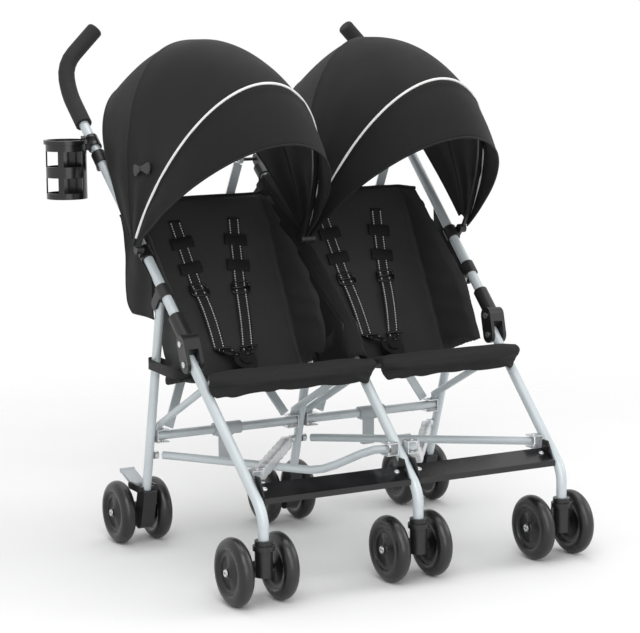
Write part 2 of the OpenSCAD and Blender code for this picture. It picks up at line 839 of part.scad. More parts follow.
// sling seat: wide rolled lip in front, narrower between the struts
function seat_width(v) = v < lip_share ? lip_half
  : mix(lip_half, seat_half, min(1, (v - lip_share) / narrow_share));
function seat_roll(v) = v < lip_share ? sin(90 * v / lip_share) : 1;
function seat_dip(u, v) = seat_sag * (1 - u * u) * sin(180 * v) + channel * pow(cos(180 * u * 1.5), 8) * v;
function seat_high(u, v) = mix(lip_top, seat_low, v) - seat_dip(u, v) - (1 - seat_roll(v)) * seat_t;
function seat_under(u, v) = seat_high(u, v) - (v < lip_share ? valance : seat_t);

module seat(s) {
  nu = 14;
  nv = 12;
  us = [for (i = [0:nu]) 2 * i / nu - 1];
  vs = [for (j = [0:nv]) j / nv];
  deep = seat_back - seat_front;
  xc = s * (lip_half + tube_r / 2);
  base_x = s * (col_at(1, seat_low) / 2);
  top = [for (u = us) [for (v = vs)
    [mix(xc, base_x, v) + u * seat_width(v), seat_front + deep * v, seat_high(u, v)]]];
  under = [for (u = us) [for (v = vs)
    [mix(xc, base_x, v) + u * seat_width(v), seat_front + deep * v, seat_under(u, v)]]];
  color("dimgray")
    grid_solid(top, under);
}

// the sides of a backrest end just behind the tubes
function back_rise(v) = back_len * v * cos(back_lean);
function back_run(v) = back_len * v * sin(back_lean);
function wing_deep(v) = let(gap = seat_back + back_run(v) - tube_at(1, seat_low + back_rise(v)).y)
  max(back_wing, min(wing_most, gap)) * min(1, v / foot_share);

// point on a backrest: u across with both sides, v up, w off the front face
function back_mid(s) = s * col_at(1, strut_high) / 2;
function back_pt(s, u, v, w) = let(
    k = u < 0 ? -1 : 1,
    f = max(0, (abs(u) - flat_share) / (1 - flat_share)),
    g = min(1, f * 4),
    groove = channel * pow(cos(180 * v * 2.5), 8) * (1 - min(1, abs(u) / flat_share)),
    out = (1 - w) * (1 - g) * back_t)
  [back_mid(s) + k * ((back_half - wing_t) * min(1, abs(u) / flat_share) + (1 - w) * g * wing_t),
    seat_back + side_gap + back_run(v) - wing_deep(v) * f + groove * w + out * cos(back_lean),
    seat_low + side_gap + back_rise(v) - out * sin(back_lean)];

module backrest(s) {
  nu = 20;
  nv = 16;
  us = [for (i = [0:nu]) 2 * i / nu - 1];
  vs = [for (j = [0:nv]) j / nv];
  front = [for (u = us) [for (v = vs) back_pt(s, u, v, 1)]];
  rear = [for (u = us) [for (v = vs) back_pt(s, u, v, 0)]];
  color("dimgray")
    grid_solid(rear, front);
}

// a flat strap with its width along x and its thickness along n
module band(p, q, w, t, n) {
  a = [w / 2, 0, 0];
  b = n * t / 2;
  ring = [-a - b, a - b, a + b, b - a];
  walls = [for (i = [0:3]) let(j = (i + 1) % 4) [j + 4, i + 4, i, j]];
  polyhedron(points = [for (c = [p, q]) for (e = ring) c + e],
    faces = concat([[3, 2, 1, 0], [4, 5, 6, 7]], walls));
}

module harness(s) {
  off = [0, -cos(back_lean), sin(back_lean)];
  lift = off * strap_t * 2.2;
  low_share = 0.09;
  pad_shares = [0.56, 0.75];
  pad_share = 0.1;
  color("black")
    for (k = outer) {
      top_u = strap_top / (back_half - wing_t) * flat_share;
      low_u = strap_low / (back_half - wing_t) * flat_share;
      a = back_pt(s, k * low_u, low_share, 1) + lift;
      b = back_pt(s, k * top_u, strap_share, 1) + lift;
      band(a, b, strap_w, strap_t, off);
      for (h = pad_shares)
        band(mix(a, b, h), mix(a, b, h + pad_share), strap_w * 1.5, strap_t * 3, off);
    }
}

module buckle(s) {
  x = back_mid(s);
  seat_top = seat_high(strap_w / 2 / seat_half, (buckle_y - seat_front) / (seat_back - seat_front));
  color("black") {
    translate([x, buckle_y, buckle_z])
      rotate([buckle_tilt, 0, 0])
        difference() {
          cylinder(h = buckle_t, r = buckle_r);
          translate([0, 0, buckle_t / 3])
            cylinder(h = buckle_t, r = button_r + side_gap);
        }
    band([x, buckle_y, seat_top - side_gap / 3], [x, buckle_y, buckle_z + strap_t * 2],
      strap_w, strap_t * 2, [0, -1, 0]);
  }
}

module button(s) {
  color("gray")
    translate([back_mid(s), buckle_y, buckle_z])
      rotate([buckle_tilt, 0, 0])
        translate([0, 0, buckle_t / 3 + button_go + side_gap])
          cylinder(h = buckle_t * 2 / 3, r = button_r);
}

// point on a canopy arch: angle a forward of upright, reach r, t from 0 to 180 across
function hood_pt(s, a, r, t) = [s * hood_x - hood_half * cos(t), hood_y - r * sin(t) * sin(a),
  hood_z + r * sin(t) * cos(a)];
function hood_reach(a) = a > bow_a ? mix(bow_r, visor_r, (a - bow_a) / (visor_a - bow_a))
  : mix(bow_r, hem_r, (bow_a - a) / (bow_a + hem_a));

// flat band bent to the arch, with a boss on the pin at each end
module canopy_bow(s) {
  n = arch_steps;
  ts = [for (i = [0:n]) 180 * i / n];
  wide = hood_half;
  high = bow_r - cloth_t - side_gap * 2;
  outside = [for (t = ts) [wide * cos(t), high * sin(t)]];
  inside = [for (i = [n:-1:0]) [(wide - bow_d) * cos(ts[i]), (high - bow_d) * sin(ts[i])]];
  color("black")
    difference() {
      union() {
        translate([s * hood_x, hood_y, hood_z])
          rotate([90 + bow_a, 0, 0])
            translate([0, 0, -bow_rod_r])
              linear_extrude(height = bow_d)
                polygon(concat(outside, inside));
        for (k = outer) {
          x = s * hood_x + k * (wide - bow_rod_r);
          pin_x(x - bow_rod_r - side_gap * 2, x + bow_rod_r + side_gap * 2, hood_y, hood_z, hood_boss_r);
        }
      }
      for (k = outer) {
        x = s * hood_x + k * hood_half;
        pin_x(x - hood_half / 4, x + hood_half / 4, hood_y, hood_z, hood_pin_d / 2 + run_gap);
      }
    }
}

// one cloth sheet from the rear hem over the top to the visor edge
module canopy(s) {
  ts = [for (i = [1:arch_steps - 1]) 180 * i / arch_steps];
  back_as = [for (j = [0:9]) mix(-hem_a, bow_a, j / 9)];
  as = concat(back_as, [for (j = [1:3]) mix(bow_a, visor_a, j / 3)]);
  skin = [for (t = ts) [for (a = as) hood_pt(s, a, hood_reach(a), t) + [-cos(t) * cloth_t * 2, 0, 0]]];
  lining = [for (t = ts) [for (a = as)
    hood_pt(s, a, hood_reach(a) - cloth_t, t) + [-cos(t) * cloth_t, 0, 0]]];
  color("dimgray")
    grid_solid(lining, skin);
}

module rear_leg(s) {
  top = rear_at(s, pivot_z);
  d = unit(top - rear_at(s, foot_z));
  color("gainsboro")
    difference() {
      rod(rear_at(s, foot_z), top + d * leg_top, rear_r);
      rod(rear_at(s, foot_z) - d * leg_top, top - d * (pivot_r + wall_t * 2), rear_r - wall_t);
      pin_x(top.x - rear_d, top.x + rear_d, pivot_y, pivot_z, pivot_r + run_gap);
    }
}

// two half bars to a bay, meeting in the knuckle
module cross_bars() {
  y = rear_at(1, cross_z).y;
  xo = rear_at(1, cross_z).x - rear_r - rivet_head_t - seat_gap * 4;
  xi = rear_r + rivet_head_t + seat_gap * 2;
  mid = (xo + xi) / 2;
  color("silver")
    for (k = outer) {
      pin_x(min(k * xi, k * (mid - side_gap)), max(k * xi, k * (mid - side_gap)), y, cross_z, cross_r);
      pin_x(min(k * xo, k * (mid + side_gap)), max(k * xo, k * (mid + side_gap)), y, cross_z, cross_r);
    }
}

function knuckle_x() = (rear_at(1, cross_z).x) / 2;
function lever_y() = rear_at(1, cross_z).y + knuckle_r - lever_t / 2;
function lever_z() = cross_z - knuckle_r;

module knuckles() {
  y = rear_at(1, cross_z).y;
  color("black")
    for (k = outer)
      difference() {
        union() {
          pin_x(k * knuckle_x() - knuckle_half, k * knuckle_x() + knuckle_half, y, cross_z, knuckle_r);
          for (m = outer) {
            x = k * knuckle_x() + m * (lever_half + side_gap + ear_t / 2);
            plate_x(x - ear_t / 2, x + ear_t / 2) {
              translate([lever_y(), lever_z()])
                circle(r = ear_t);
              web([lever_y(), lever_z()], [y, cross_z], ear_t);
            }
          }
          pin_x(k * knuckle_x() - lever_half - side_gap * 2, k * knuckle_x() + lever_half + side_gap * 2,
            lever_y(), lever_z(), pedal_pin_d / 2);
        }
        pin_x(k * knuckle_x() - knuckle_half * 2, k * knuckle_x() + knuckle_half * 2, y, cross_z,
          cross_r + seat_gap);
        pin_x(k * knuckle_x() - lever_half - side_gap, k * knuckle_x() + lever_half + side_gap,
          lever_y(), lever_z(), lever_t + side_gap);
      }
  color("black")
    for (k = outer)
      pin_x(k * knuckle_x() - lever_half - side_gap * 2, k * knuckle_x() + lever_half + side_gap * 2,
        lever_y(), lever_z(), pedal_pin_d / 2);
}

module release_lever(k) {
  x = k * knuckle_x();
  eye = lever_t;
  color("silver")
    difference() {
      union() {
        pin_x(x - lever_half, x + lever_half, lever_y(), lever_z(), eye);
        block([x - lever_half, lever_y() - lever_t / 2, lever_z() - lever_len],
          [x + lever_half, lever_y() + lever_t / 2, lever_z()]);
        block([x - lever_half, lever_y() - lever_t / 2, lever_z() - lever_len],
          [x + lever_half, lever_y() + lever_t * 3, lever_z() - lever_len + lever_t]);
      }
      pin_x(x - lever_half * 2, x + lever_half * 2, lever_y(), lever_z(), pedal_pin_d / 2 + run_gap);
    }
}

// zinc brackets that hold the cross bars on the rear legs, and the lugs of the floor braces
module rear_brackets() {
  y = rear_at(1, cross_z).y;
  half = cross_r + rivet_head_t * 2;
  deep = half * 2;
  lug_y = rear_at(1, bent_rear_z).y;
  lug_r = brace_r;
  xo = rear_at(1, cross_z).x - rear_r - seat_gap * 3;
  lo = rear_at(1, bent_rear_z).x - rear_r - seat_gap * 3;
  color("lightgray")
    for (k = outer) {
      u_bracket(k * xo, y, cross_z, -k, deep, half, cross_r + seat_gap);
      u_bracket(k * (rear_r + seat_gap), y, cross_z, k, deep, half, cross_r + seat_gap);
      pin_x(k > 0 ? lo - rear_r : -lo, k > 0 ? lo : -lo + rear_r, lug_y, bent_rear_z, lug_r);
      pin_x(k > 0 ? rear_r + seat_gap : -rear_r * 2, k > 0 ? rear_r * 2 : -rear_r - seat_gap,
        lug_y, bent_rear_z, lug_r);
    }
}

module rear_housing(s) {
  x = s * rear_x;
  foot = [foot_y, foot_z];
  hub = [rear_axle_y, wheel_r];
  lug = [pedal_y, pedal_z];
  neck = rear_at(s, pedal_z);
  d = unit(rear_at(s, pivot_z) - rear_at(s, foot_z));
  ear = pedal_half + side_gap;
  braked = abs(s);
  color("black")
    difference() {
      union() {
        plate_x(x - housing_half, x + housing_half) {
          translate(hub)
            circle(r = housing_r);
          translate(foot)
            circle(r = housing_r);
          web(foot, hub, housing_r);
          web(foot, [neck.y, neck.z], housing_r);
        }
        axle(x, rear_axle_y, rear_pair);
        if (braked > 0) {
          for (k = outer)
            plate_x(x + (k > 0 ? ear : -ear - ear_t), x + (k > 0 ? ear + ear_t : -ear)) {
              translate(lug)
                circle(r = ear_t * 1.4);
              web(lug, [neck.y, neck.z], ear_t * 1.4);
            }
          block([x - ear - ear_t, neck.y - ear_t, neck.z - ear_t],
            [x + ear + ear_t, neck.y + ear_t, neck.z + ear_t]);
          pin_x(x - ear - ear_t, x + ear + ear_t, pedal_y, pedal_z, pedal_pin_d / 2);
        }
      }
      rod(rear_at(s, foot_z) - d * seat_gap, rear_at(s, pivot_z), rear_r + seat_gap);
    }
}

module brake_pedal(s) {
  x = s * rear_x;
  a = [pedal_y, pedal_z];
  d = [cos(pedal_a), sin(pedal_a)];
  color("gainsboro")
    difference() {
      plate_x(x - pedal_half, x + pedal_half) {
        translate(a)
          circle(r = pedal_t);
        web(a, a + d * pedal_len, pedal_t / 2);
        translate(a + d * pedal_len)
          circle(r = pedal_t * 0.8);
      }
      pin_x(x - pedal_half * 2, x + pedal_half * 2, pedal_y, pedal_z, pedal_pin_d / 2 + run_gap);
    }
}

// flat crossing bars behind the seats, from the upper pins to the rear legs
module back_braces() {
  low = rear_at(1, cross_z + cross_r + flat_w * foot_lean_share + side_gap);
  inside = col_at(1, hanger_z) - flat_in;
  low_out = low.x - flat_in;
  color("silver")
    for (k = outer) {
      flat_bar([k * flat_in, hanger_y, hanger_z], [k * low_out, low.y, low.z], flat_gap, k);
      flat_bar([k * inside, hanger_y, hanger_z], [k * flat_in, low.y, low.z], -flat_gap, -k);
    }
}

// a flat bar with an eye on the upper pin
module flat_bar(p, q, off, k) {
  v = q - p;
  n = unit([0, -v.z, v.y]);
  a = p + n * off + unit(v) * flat_w / 2;
  difference() {
    union() {
      strap_bar(a, q + n * off, flat_w, flat_t);
      pin_x(p.x - flat_t, p.x + flat_t, p.y, p.z, flat_w / 2);
    }
    pin_x(p.x - flat_w, p.x + flat_w, p.y, p.z, hanger_r + run_gap);
  }
}

// a flat bar leaning sideways between two points, its face square to the side view
module strap_bar(p, q, w, t) {
  v = q - p;
  lean = atan2(v.x, norm([v.y, v.z]));
  drop = atan2(-v.y, -v.z);
  translate(p)
    rotate([-drop, 0, 0])
      rotate([0, -lean, 0])
        translate([-w / 2, -t / 2, -norm(v)])
          cube([w, t, norm(v)]);
}

module caster(s) {
  x = s * col_x;
  color("black")
    difference() {
      union() {
        translate([x, swivel_y, stem_low])
          cylinder(h = stem_top - stem_low, r = stem_r);
        translate([x, swivel_y, stem_top - collar_t * 2])
          cylinder(h = collar_t, r = collar_r);
        plate_x(x - arm_half, x + arm_half) {
          translate([front_axle_y, wheel_r])
            circle(r = arm_r);
          web([front_axle_y, wheel_r], [swivel_y, wheel_r + arm_r / 2], arm_r);
        }
        axle(x, front_axle_y, front_pair);
      }
      translate([x, swivel_y, stub_z - side_gap])
        cylinder(h = stem_top, r = tube_r + run_gap);
    }
}

module wheel_node(x, y) {
  color("dimgray")
    wheel(x, y);
}

upper_tube(-1);  // upper_tube_left
upper_tube(0);  // upper_tube_middle
upper_tube(1);  // upper_tube_right
front_leg(-1);  // front_leg_left
front_leg(0);  // front_leg_middle
front_leg(1);  // front_leg_right
elbow_joints();
tube_clips();
brace_hangers();
grip(-1);  // grip_left
grip(1);  // grip_right
cup_holder();
footrest(-1);  // footrest_left
footrest(1);  // footrest_right
floor_braces();
seat_struts();
brackets();
seat(-1);  // seat_left
seat(1);  // seat_right
buckle(-1);  // buckle_left
buckle(1);  // buckle_right
button(-1);  // button_left
button(1);  // button_right
backrest(-1);  // backrest_left
backrest(1);  // backrest_right
harness(-1);  // harness_left
harness(1);  // harness_right
canopy_bow(-1);  // canopy_bow_left
canopy_bow(1);  // canopy_bow_right
canopy(-1);  // canopy_left
canopy(1);  // canopy_right
rear_leg(-1);  // rear_leg_left
rear_leg(0);  // rear_leg_middle
rear_leg(1);  // rear_leg_right
cross_bars();
knuckles();
release_lever(-1);  // release_lever_left
release_lever(1);  // release_lever_right
rear_brackets();
rear_housing(-1);  // rear_housing_left
rear_housing(0);  // rear_housing_middle
rear_housing(1);  // rear_housing_right
brake_pedal(-1);  // brake_pedal_left
brake_pedal(1);  // brake_pedal_right
back_braces();
caster(-1);  // caster_left
caster(0);  // caster_middle
caster(1);  // caster_right
wheel_node(-col_x - front_pair, front_axle_y);  // wheel_front_left_a
wheel_node(-col_x + front_pair, front_axle_y);  // wheel_front_left_b
wheel_node(-front_pair, front_axle_y);  // wheel_front_middle_a
wheel_node(front_pair, front_axle_y);  // wheel_front_middle_b
wheel_node(col_x - front_pair, front_axle_y);  // wheel_front_right_a
wheel_node(col_x + front_pair, front_axle_y);  // wheel_front_right_b
wheel_node(-rear_x - rear_pair, rear_axle_y);  // wheel_rear_left_a
wheel_node(-rear_x + rear_pair, rear_axle_y);  // wheel_rear_left_b
wheel_node(-rear_pair, rear_axle_y);  // wheel_rear_middle_a
wheel_node(rear_pair, rear_axle_y);  // wheel_rear_middle_b
wheel_node(rear_x - rear_pair, rear_axle_y);  // wheel_rear_right_a
wheel_node(rear_x + rear_pair, rear_axle_y);  // wheel_rear_right_b
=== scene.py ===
"""Side by side double stroller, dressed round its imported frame. Lengths below are millimetres."""
import math

import bmesh
import bpy
from mathutils import Matrix, Vector, noise
from mathutils.bvhtree import BVHTree


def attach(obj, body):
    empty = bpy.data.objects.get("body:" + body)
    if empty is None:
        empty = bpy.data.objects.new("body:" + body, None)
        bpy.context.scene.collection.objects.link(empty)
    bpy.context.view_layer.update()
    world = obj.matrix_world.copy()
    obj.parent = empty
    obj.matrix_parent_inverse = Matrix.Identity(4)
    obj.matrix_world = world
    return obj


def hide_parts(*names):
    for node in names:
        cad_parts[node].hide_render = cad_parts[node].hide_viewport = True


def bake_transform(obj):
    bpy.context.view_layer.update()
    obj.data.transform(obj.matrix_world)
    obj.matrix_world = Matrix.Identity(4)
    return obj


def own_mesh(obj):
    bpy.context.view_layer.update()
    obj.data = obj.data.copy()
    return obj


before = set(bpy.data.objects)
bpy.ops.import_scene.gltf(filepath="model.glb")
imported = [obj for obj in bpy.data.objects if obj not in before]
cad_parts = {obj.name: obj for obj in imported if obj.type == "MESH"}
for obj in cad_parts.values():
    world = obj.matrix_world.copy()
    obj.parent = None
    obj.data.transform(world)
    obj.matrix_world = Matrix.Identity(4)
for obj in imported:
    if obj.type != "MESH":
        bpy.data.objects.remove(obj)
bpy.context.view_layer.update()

MM = 0.001
SIDES = {"left": -1, "right": 1}
COLUMNS = {"left": -1, "middle": 0, "right": 1}

# lines of the frame and of what is set on it
COL_X, BEND_Z, SPLAY = 326.0, 147.5, math.radians(3.15)
SLEEVE_Y, SLEEVE_Z = -6.6, 447.0
UPPER_LEAN, MIDDLE_LEAN = math.radians(48.2), math.radians(51.1)
SEAT_MID = 169.18
LIP_SPAN = {"left": (-166.0, 182.0), "right": (186.0, 164.0)}
SEAT_HALF = 143.85
SEAT_FRONT, SEAT_BACK, LIP_TOP, SEAT_LOW = -122.0, 131.0, 404.0, 356.0
BACK_LEAN, BACK_LEN = math.radians(27.5), 384.0
HOOD_X, HOOD_HALF, HOOD_OVER, HOOD_Y, HOOD_Z, HOOD_ARM = 192.0, 184.0, 4.5, 154.0, 610.0, 300.0
BOW_A, VISOR_A, HEM_A, RIB_A = 32.7, 54.0, -43.0, -14.0
VISOR_R, BOW_R, HEM_R = 360.0, 380.0, 432.0
BUCKLE_Y, BUCKLE_Z = 106.0, 371.0
BACK_HALF, WING_T, WING_MOST, WING_LEAST = 154.0, 7.0, 140.0, 22.0
WHEEL_R, FRONT_AXLE_Y, REAR_AXLE_Y = 63.5, -249.5, 277.8
FRONT_PAIR, REAR_PAIR, REAR_X, TYRE_MID, TYRE_HALF = 45.7, 40.0, 331.0, 48.0, 15.5
HUB_OUT, HUB_HEAD = 15.9, 1.04
BRACE_IN, BRACE_FRONT_Y, BRACE_REAR_Y, BRACE_REAR_X = 27.0, -212.0, 192.0, 308.6
STRAIGHT_FRONT_Z, BENT_FRONT_Z, BRACE_REAR_Z, BENT_SHARE = 226.0, 246.0, 190.0, 0.34
STRUT_X, SHOE_LINE = (18.0, 321.3), ((178, 259), (184, 250), (189, 240), (190, 231))
FOOT_SCREW_X, FOOT_SCREW, FOOT_FACING = (24.0, 304.0), (-240.0, 206.4), Vector((0, -0.347, 0.938))

# profile of a wheel from its axle to the tyre, as (radius, distance from its middle)
HUB_LINE = ((4.2, 14.6), (9.0, 14.6), (10.5, 13.2), (11.2, 11.0), (28.0, 10.4), (28.8, 9.4), (39.0, 9.2),
            (40.4, 10.2), (41.2, 12.6), (42.6, 13.6), (43.4, 13.4))
WHEEL_TURNS, TYRE_STEPS = 72, 14

# profile of a screw head, as (radius, height)
HEAD_LINE, HEAD_SIDES, RECESS = ((7.2, 0.0), (7.2, 1.8), (6.4, 2.9), (4.2, 3.5), (2.0, 3.7)), 16, 1.4

# canopy grid, and the filling of seats and backrests by Cloth
TURN_FIRST, TURN_LAST, TURN_STEPS, HEM_STEPS, VISOR_STEPS = 1.5, 178.5, 120, 66, 22
PAD_WALL, PUFF_VOXEL, PUFF_MOST, PUFF_FRAMES = 8.0, 4.5, 4.0, 20
VALANCE_END, LIP_SHARE, LIP_END = 0.16, 0.14, 0.3

# harness
STRAP_TOP, STRAP_END, STRAP_APART = SEAT_LOW + 290, SEAT_LOW + 44, (66.0, 31.0)
STRAP_W, STITCH_OFF, KEEPER_W = 27.0, 9.4, 50.0
KEEPERS_Z, SLIDER_Z = (SEAT_LOW + 248, SEAT_LOW + 198), SEAT_LOW + 156

# cloth on the frame
FLAP_LOW, FLAP_TOP, FLAP_FRONT, FLAP_BACK = 478.0, 668.0, 118.0, 242.0
COVER_FOOT, COVER_LEN = ((-46, 384), (-30, 398), (-21, 418)), 427
COVER_WRAP, COVER_REAR, GUSSET_REAR, GUSSET_LOW = 0.6, 42.0, 120.0, 356.0
FOLD_X, FOLD_LEG_Y, FOLD_FRONT_Y, FOLD_LOW, FOLD_HIGH = -341.0, 147.0, 52.0, 380.0, 386.0

# camera that took the photograph
CAMERA_AT = (-1967.97, -3508.63, 1065.44)
CAMERA_AZ, CAMERA_EL, CAMERA_ROLL = -28.597, 8.419, -0.4395
CAMERA_LENS = 116.3

# studio, in metres and watts
FLOOR_R, FLOOR_FADE = 2.4, (0.9, 2.3)
SOFTBOXES = (("key_softbox", (-1.6, -2.6, 3.2), 2.2, 50), ("top_softbox", (0.2, 0.6, 3.6), 2.6, 40),
             ("side_softbox", (2.8, -1.2, 2.0), 1.8, 20), ("front_softbox", (-1.2, -4.0, 1.4), 2.4, 34))


# helpers for meshes

def mix(a, b, t):
    return a + (b - a) * t


def ease(t):
    t = max(0.0, min(1.0, t))
    return t * t * (3 - 2 * t)


def signed_power(value, power):
    return math.copysign(abs(value) ** power, value)


def forward(v):
    """The one of v and its opposite that points to the front."""
    return v if v.y < 0 else -v


def in_scene(name, data):
    obj = bpy.data.objects.new(name, data)
    bpy.context.scene.collection.objects.link(obj)
    return obj


def smooth_faces(mesh):
    mesh.polygons.foreach_set("use_smooth", [True] * len(mesh.polygons))


def new_piece(name, verts, faces, material, uvs=None):
    """A mesh object from points in millimetres, with an optional UV pair in metres for each point."""
    mesh = bpy.data.meshes.new(name)
    mesh.from_pydata([Vector(v) * MM for v in verts], [], faces)
    if uvs:
        layer = mesh.uv_layers.new(name="cloth")
        for loop in mesh.loops:
            layer.data[loop.index].uv = uvs[loop.vertex_index]
    smooth_faces(mesh)
    mesh.materials.append(material)
    return in_scene(name, mesh)


def turn_outward(obj):
    """Recalculate the normals of a closed mesh."""
    bm = bmesh.new()
    bm.from_mesh(obj.data)
    bmesh.ops.remove_doubles(bm, verts=bm.verts, dist=1e-6)
    bmesh.ops.recalc_face_normals(bm, faces=bm.faces)
    bm.to_mesh(obj.data)
    bm.free()
    return obj


def apply_modifiers(obj):
    """Turn the evaluated object into its own plain mesh."""
    graph = bpy.context.evaluated_depsgraph_get()
    graph.update()
    mesh = bpy.data.meshes.new_from_object(obj.evaluated_get(graph))
    obj.modifiers.clear()
    obj.data = mesh
    return obj


def thicken(obj, thickness, offset=0.0):
    """Turn a sheet into a wall of the given thickness in millimetres."""
    wall = obj.modifiers.new("wall", "SOLIDIFY")
    wall.thickness, wall.offset = thickness * MM, offset
    return apply_modifiers(obj)


def finish(obj, body, slot, *nodes):
    """Set a piece on its body and hide the nodes that it stands for. The slot argument is not used."""
    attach(obj, body)
    if nodes:
        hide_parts(*nodes)
    if body in ("back_left", "back_right"):
        press_flat(obj)
    return obj


def press_flat(obj):
    """Give a piece on a backrest body its own copy of its mesh."""
    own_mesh(obj)


def tangents_of(path):
    """Tangent at each point of a path."""
    tangents = []
    for i in range(len(path)):
        a, b = path[max(0, i - 1)], path[min(len(path) - 1, i + 1)]
        tangents.append((b - a).normalized())
    return tangents


def swept(name, verts, uvs, sides, material):
    """A closed piece from the points of a section of so many sides, moved along a path."""
    faces = []
    for i in range(0, len(verts) - sides, sides):
        for k in range(sides):
            a, b = i + k, i + (k + 1) % sides
            faces.append((a, b, b + sides, a + sides))
    faces.append(tuple(range(sides - 1, -1, -1)))
    faces.append(tuple(len(verts) - sides + k for k in range(sides)))
    return turn_outward(new_piece(name, verts, faces, material, uvs))


def tube(name, path, radius, material, sides=10):
    """A round cord swept along a path, closed at both ends."""
    path = [Vector(p) for p in path]
    tangents = tangents_of(path)
    side = tangents[0].orthogonal().normalized()
    verts, uvs = [], []
    run = 0.0
    for i, (p, t) in enumerate(zip(path, tangents)):
        side = (side - t * side.dot(t)).normalized()
        up = t.cross(side)
        r = radius[i] if hasattr(radius, "__len__") else radius
        run += (p - path[i - 1]).length if i else 0
        for k in range(sides):
            a = 2 * math.pi * k / sides
            verts.append(p + (side * math.cos(a) + up * math.sin(a)) * r)
            uvs.append((k / sides * 2 * math.pi * r * MM, run * MM))
    return swept(name, verts, uvs, sides, material)


def ribbon(name, path, across, width, thick, material):
    """A flat strap along a path. across is its width direction, and width one value or one for each point."""
    path = [Vector(p) for p in path]
    tangents = tangents_of(path)
    edge = thick * 0.5
    verts, uvs = [], []
    run = 0.0
    section = [(-1, 0), (-0.97, 1), (-0.5, 1), (0, 1), (0.5, 1), (0.97, 1),
               (1, 0), (0.97, -1), (0.5, -1), (0, -1), (-0.5, -1), (-0.97, -1)]
    for i, (p, t) in enumerate(zip(path, tangents)):
        a = (across - t * across.dot(t)).normalized()
        up = a.cross(t).normalized()
        w = width[i] if hasattr(width, "__len__") else width
        run += (p - path[i - 1]).length if i else 0
        for s, h in section:
            verts.append(p + a * (s * w / 2) + up * (h * edge))
            uvs.append(((s + 1) / 2 * w * MM, run * MM))
    return swept(name, verts, uvs, len(section), material)


def cloth_grid(name, rows, material):
    """An open sheet from rows of points, with UVs that follow the cloth."""
    verts, faces, uvs = [], [], []
    down = 0.0
    for i, row in enumerate(rows):
        if i:
            half = len(row) // 2
            down += (row[half] - rows[i - 1][half]).length
        along = 0.0
        for j, p in enumerate(row):
            along += (p - row[j - 1]).length if j else 0
            verts.append(p)
            uvs.append((along * MM, down * MM))
    n = len(rows[0])
    for i in range(len(rows) - 1):
        for j in range(n - 1):
            a = i * n + j
            faces.append((a, a + 1, a + n + 1, a + n))
    return new_piece(name, verts, faces, material, uvs)


def join(name, objs):
    """One piece from several meshes with the same material."""
    with bpy.context.temp_override(active_object=objs[0], object=objs[0], selected_objects=objs,
                                   selected_editable_objects=objs):
        bpy.ops.object.join()
    objs[0].name = name
    return objs[0]


# materials

def shader(name):
    material = bpy.data.materials.new(name)
    material.use_nodes = True
    tree = material.node_tree
    return material, tree, tree.nodes["Principled BSDF"]


def node(tree, kind, inputs=None, **settings):
    made = tree.nodes.new(kind)
    for key, value in settings.items():
        setattr(made, key, value)
    for key, value in (inputs or {}).items():
        if hasattr(value, "is_output"):
            tree.links.new(value, made.inputs[key])
        else:
            made.inputs[key].default_value = value
    return made


def grain(tree, scale, detail=2.0):
    """A noise on the piece's own coordinates."""
    place = node(tree, "ShaderNodeTexCoord")
    return node(tree, "ShaderNodeTexNoise",
                {"Vector": place.outputs["Object"], "Scale": scale, "Detail": detail}).outputs["Fac"]


def calc(tree, operation, *values, **settings):
    return node(tree, "ShaderNodeMath", dict(enumerate(values)), operation=operation, **settings).outputs[0]


def fix(bsdf, **values):
    """Set plain values of a shader, with _ for the spaces in their names."""
    for key, value in values.items():
        bsdf.inputs[key.replace("_", " ")].default_value = value


def ramp(tree, factor, stops):
    made = node(tree, "ShaderNodeValToRGB", {"Fac": factor})
    elements = made.color_ramp.elements
    while len(elements) < len(stops):
        elements.new(0.5)
    for element, (at, value) in zip(elements, stops):
        element.position = at
        colour = value if hasattr(value, "__len__") else (value, value, value)
        element.color = (*colour, 1)
    return made.outputs["Color"]


def spread(tree, factor, low, high):
    """Map a factor of about 0.3 to 0.7 to the range low to high."""
    made = node(tree, "ShaderNodeMapRange",
                {"Value": factor, "From Min": 0.3, "From Max": 0.7, "To Min": low, "To Max": high})
    return made.outputs["Result"]


def tint(tree, bsdf, factor, dark, light):
    """Base colour from dark to light with a noise factor."""
    tree.links.new(ramp(tree, factor, [(0.3, dark), (0.7, light)]), bsdf.inputs["Base Color"])


def roughen(tree, bsdf, factor, low, high):
    tree.links.new(spread(tree, factor, low, high), bsdf.inputs["Roughness"])


def bump(tree, bsdf, height, strength, distance):
    made = node(tree, "ShaderNodeBump", {"Height": height, "Strength": strength, "Distance": distance})
    tree.links.new(made.outputs["Normal"], bsdf.inputs["Normal"])


def sine(tree, value, pitch):
    """A wave of the given pitch in metres, from 0 to 1."""
    turned = calc(tree, "MULTIPLY", value, 2 * math.pi / pitch)
    return calc(tree, "MULTIPLY_ADD", calc(tree, "SINE", turned), 0.5, 0.5)


def moulded(name, dark, light, rough, grain_scale=900, grain_depth=0.00012):
    """Moulded plastic or foam: fine grain, slight colour drift, roughness that wanders."""
    material, tree, bsdf = shader(name)
    drift = grain(tree, 9, 4)
    fine = grain(tree, grain_scale, 3)
    tint(tree, bsdf, drift, dark, light)
    roughen(tree, bsdf, drift, *rough)
    bump(tree, bsdf, fine, 0.35, grain_depth)
    return material


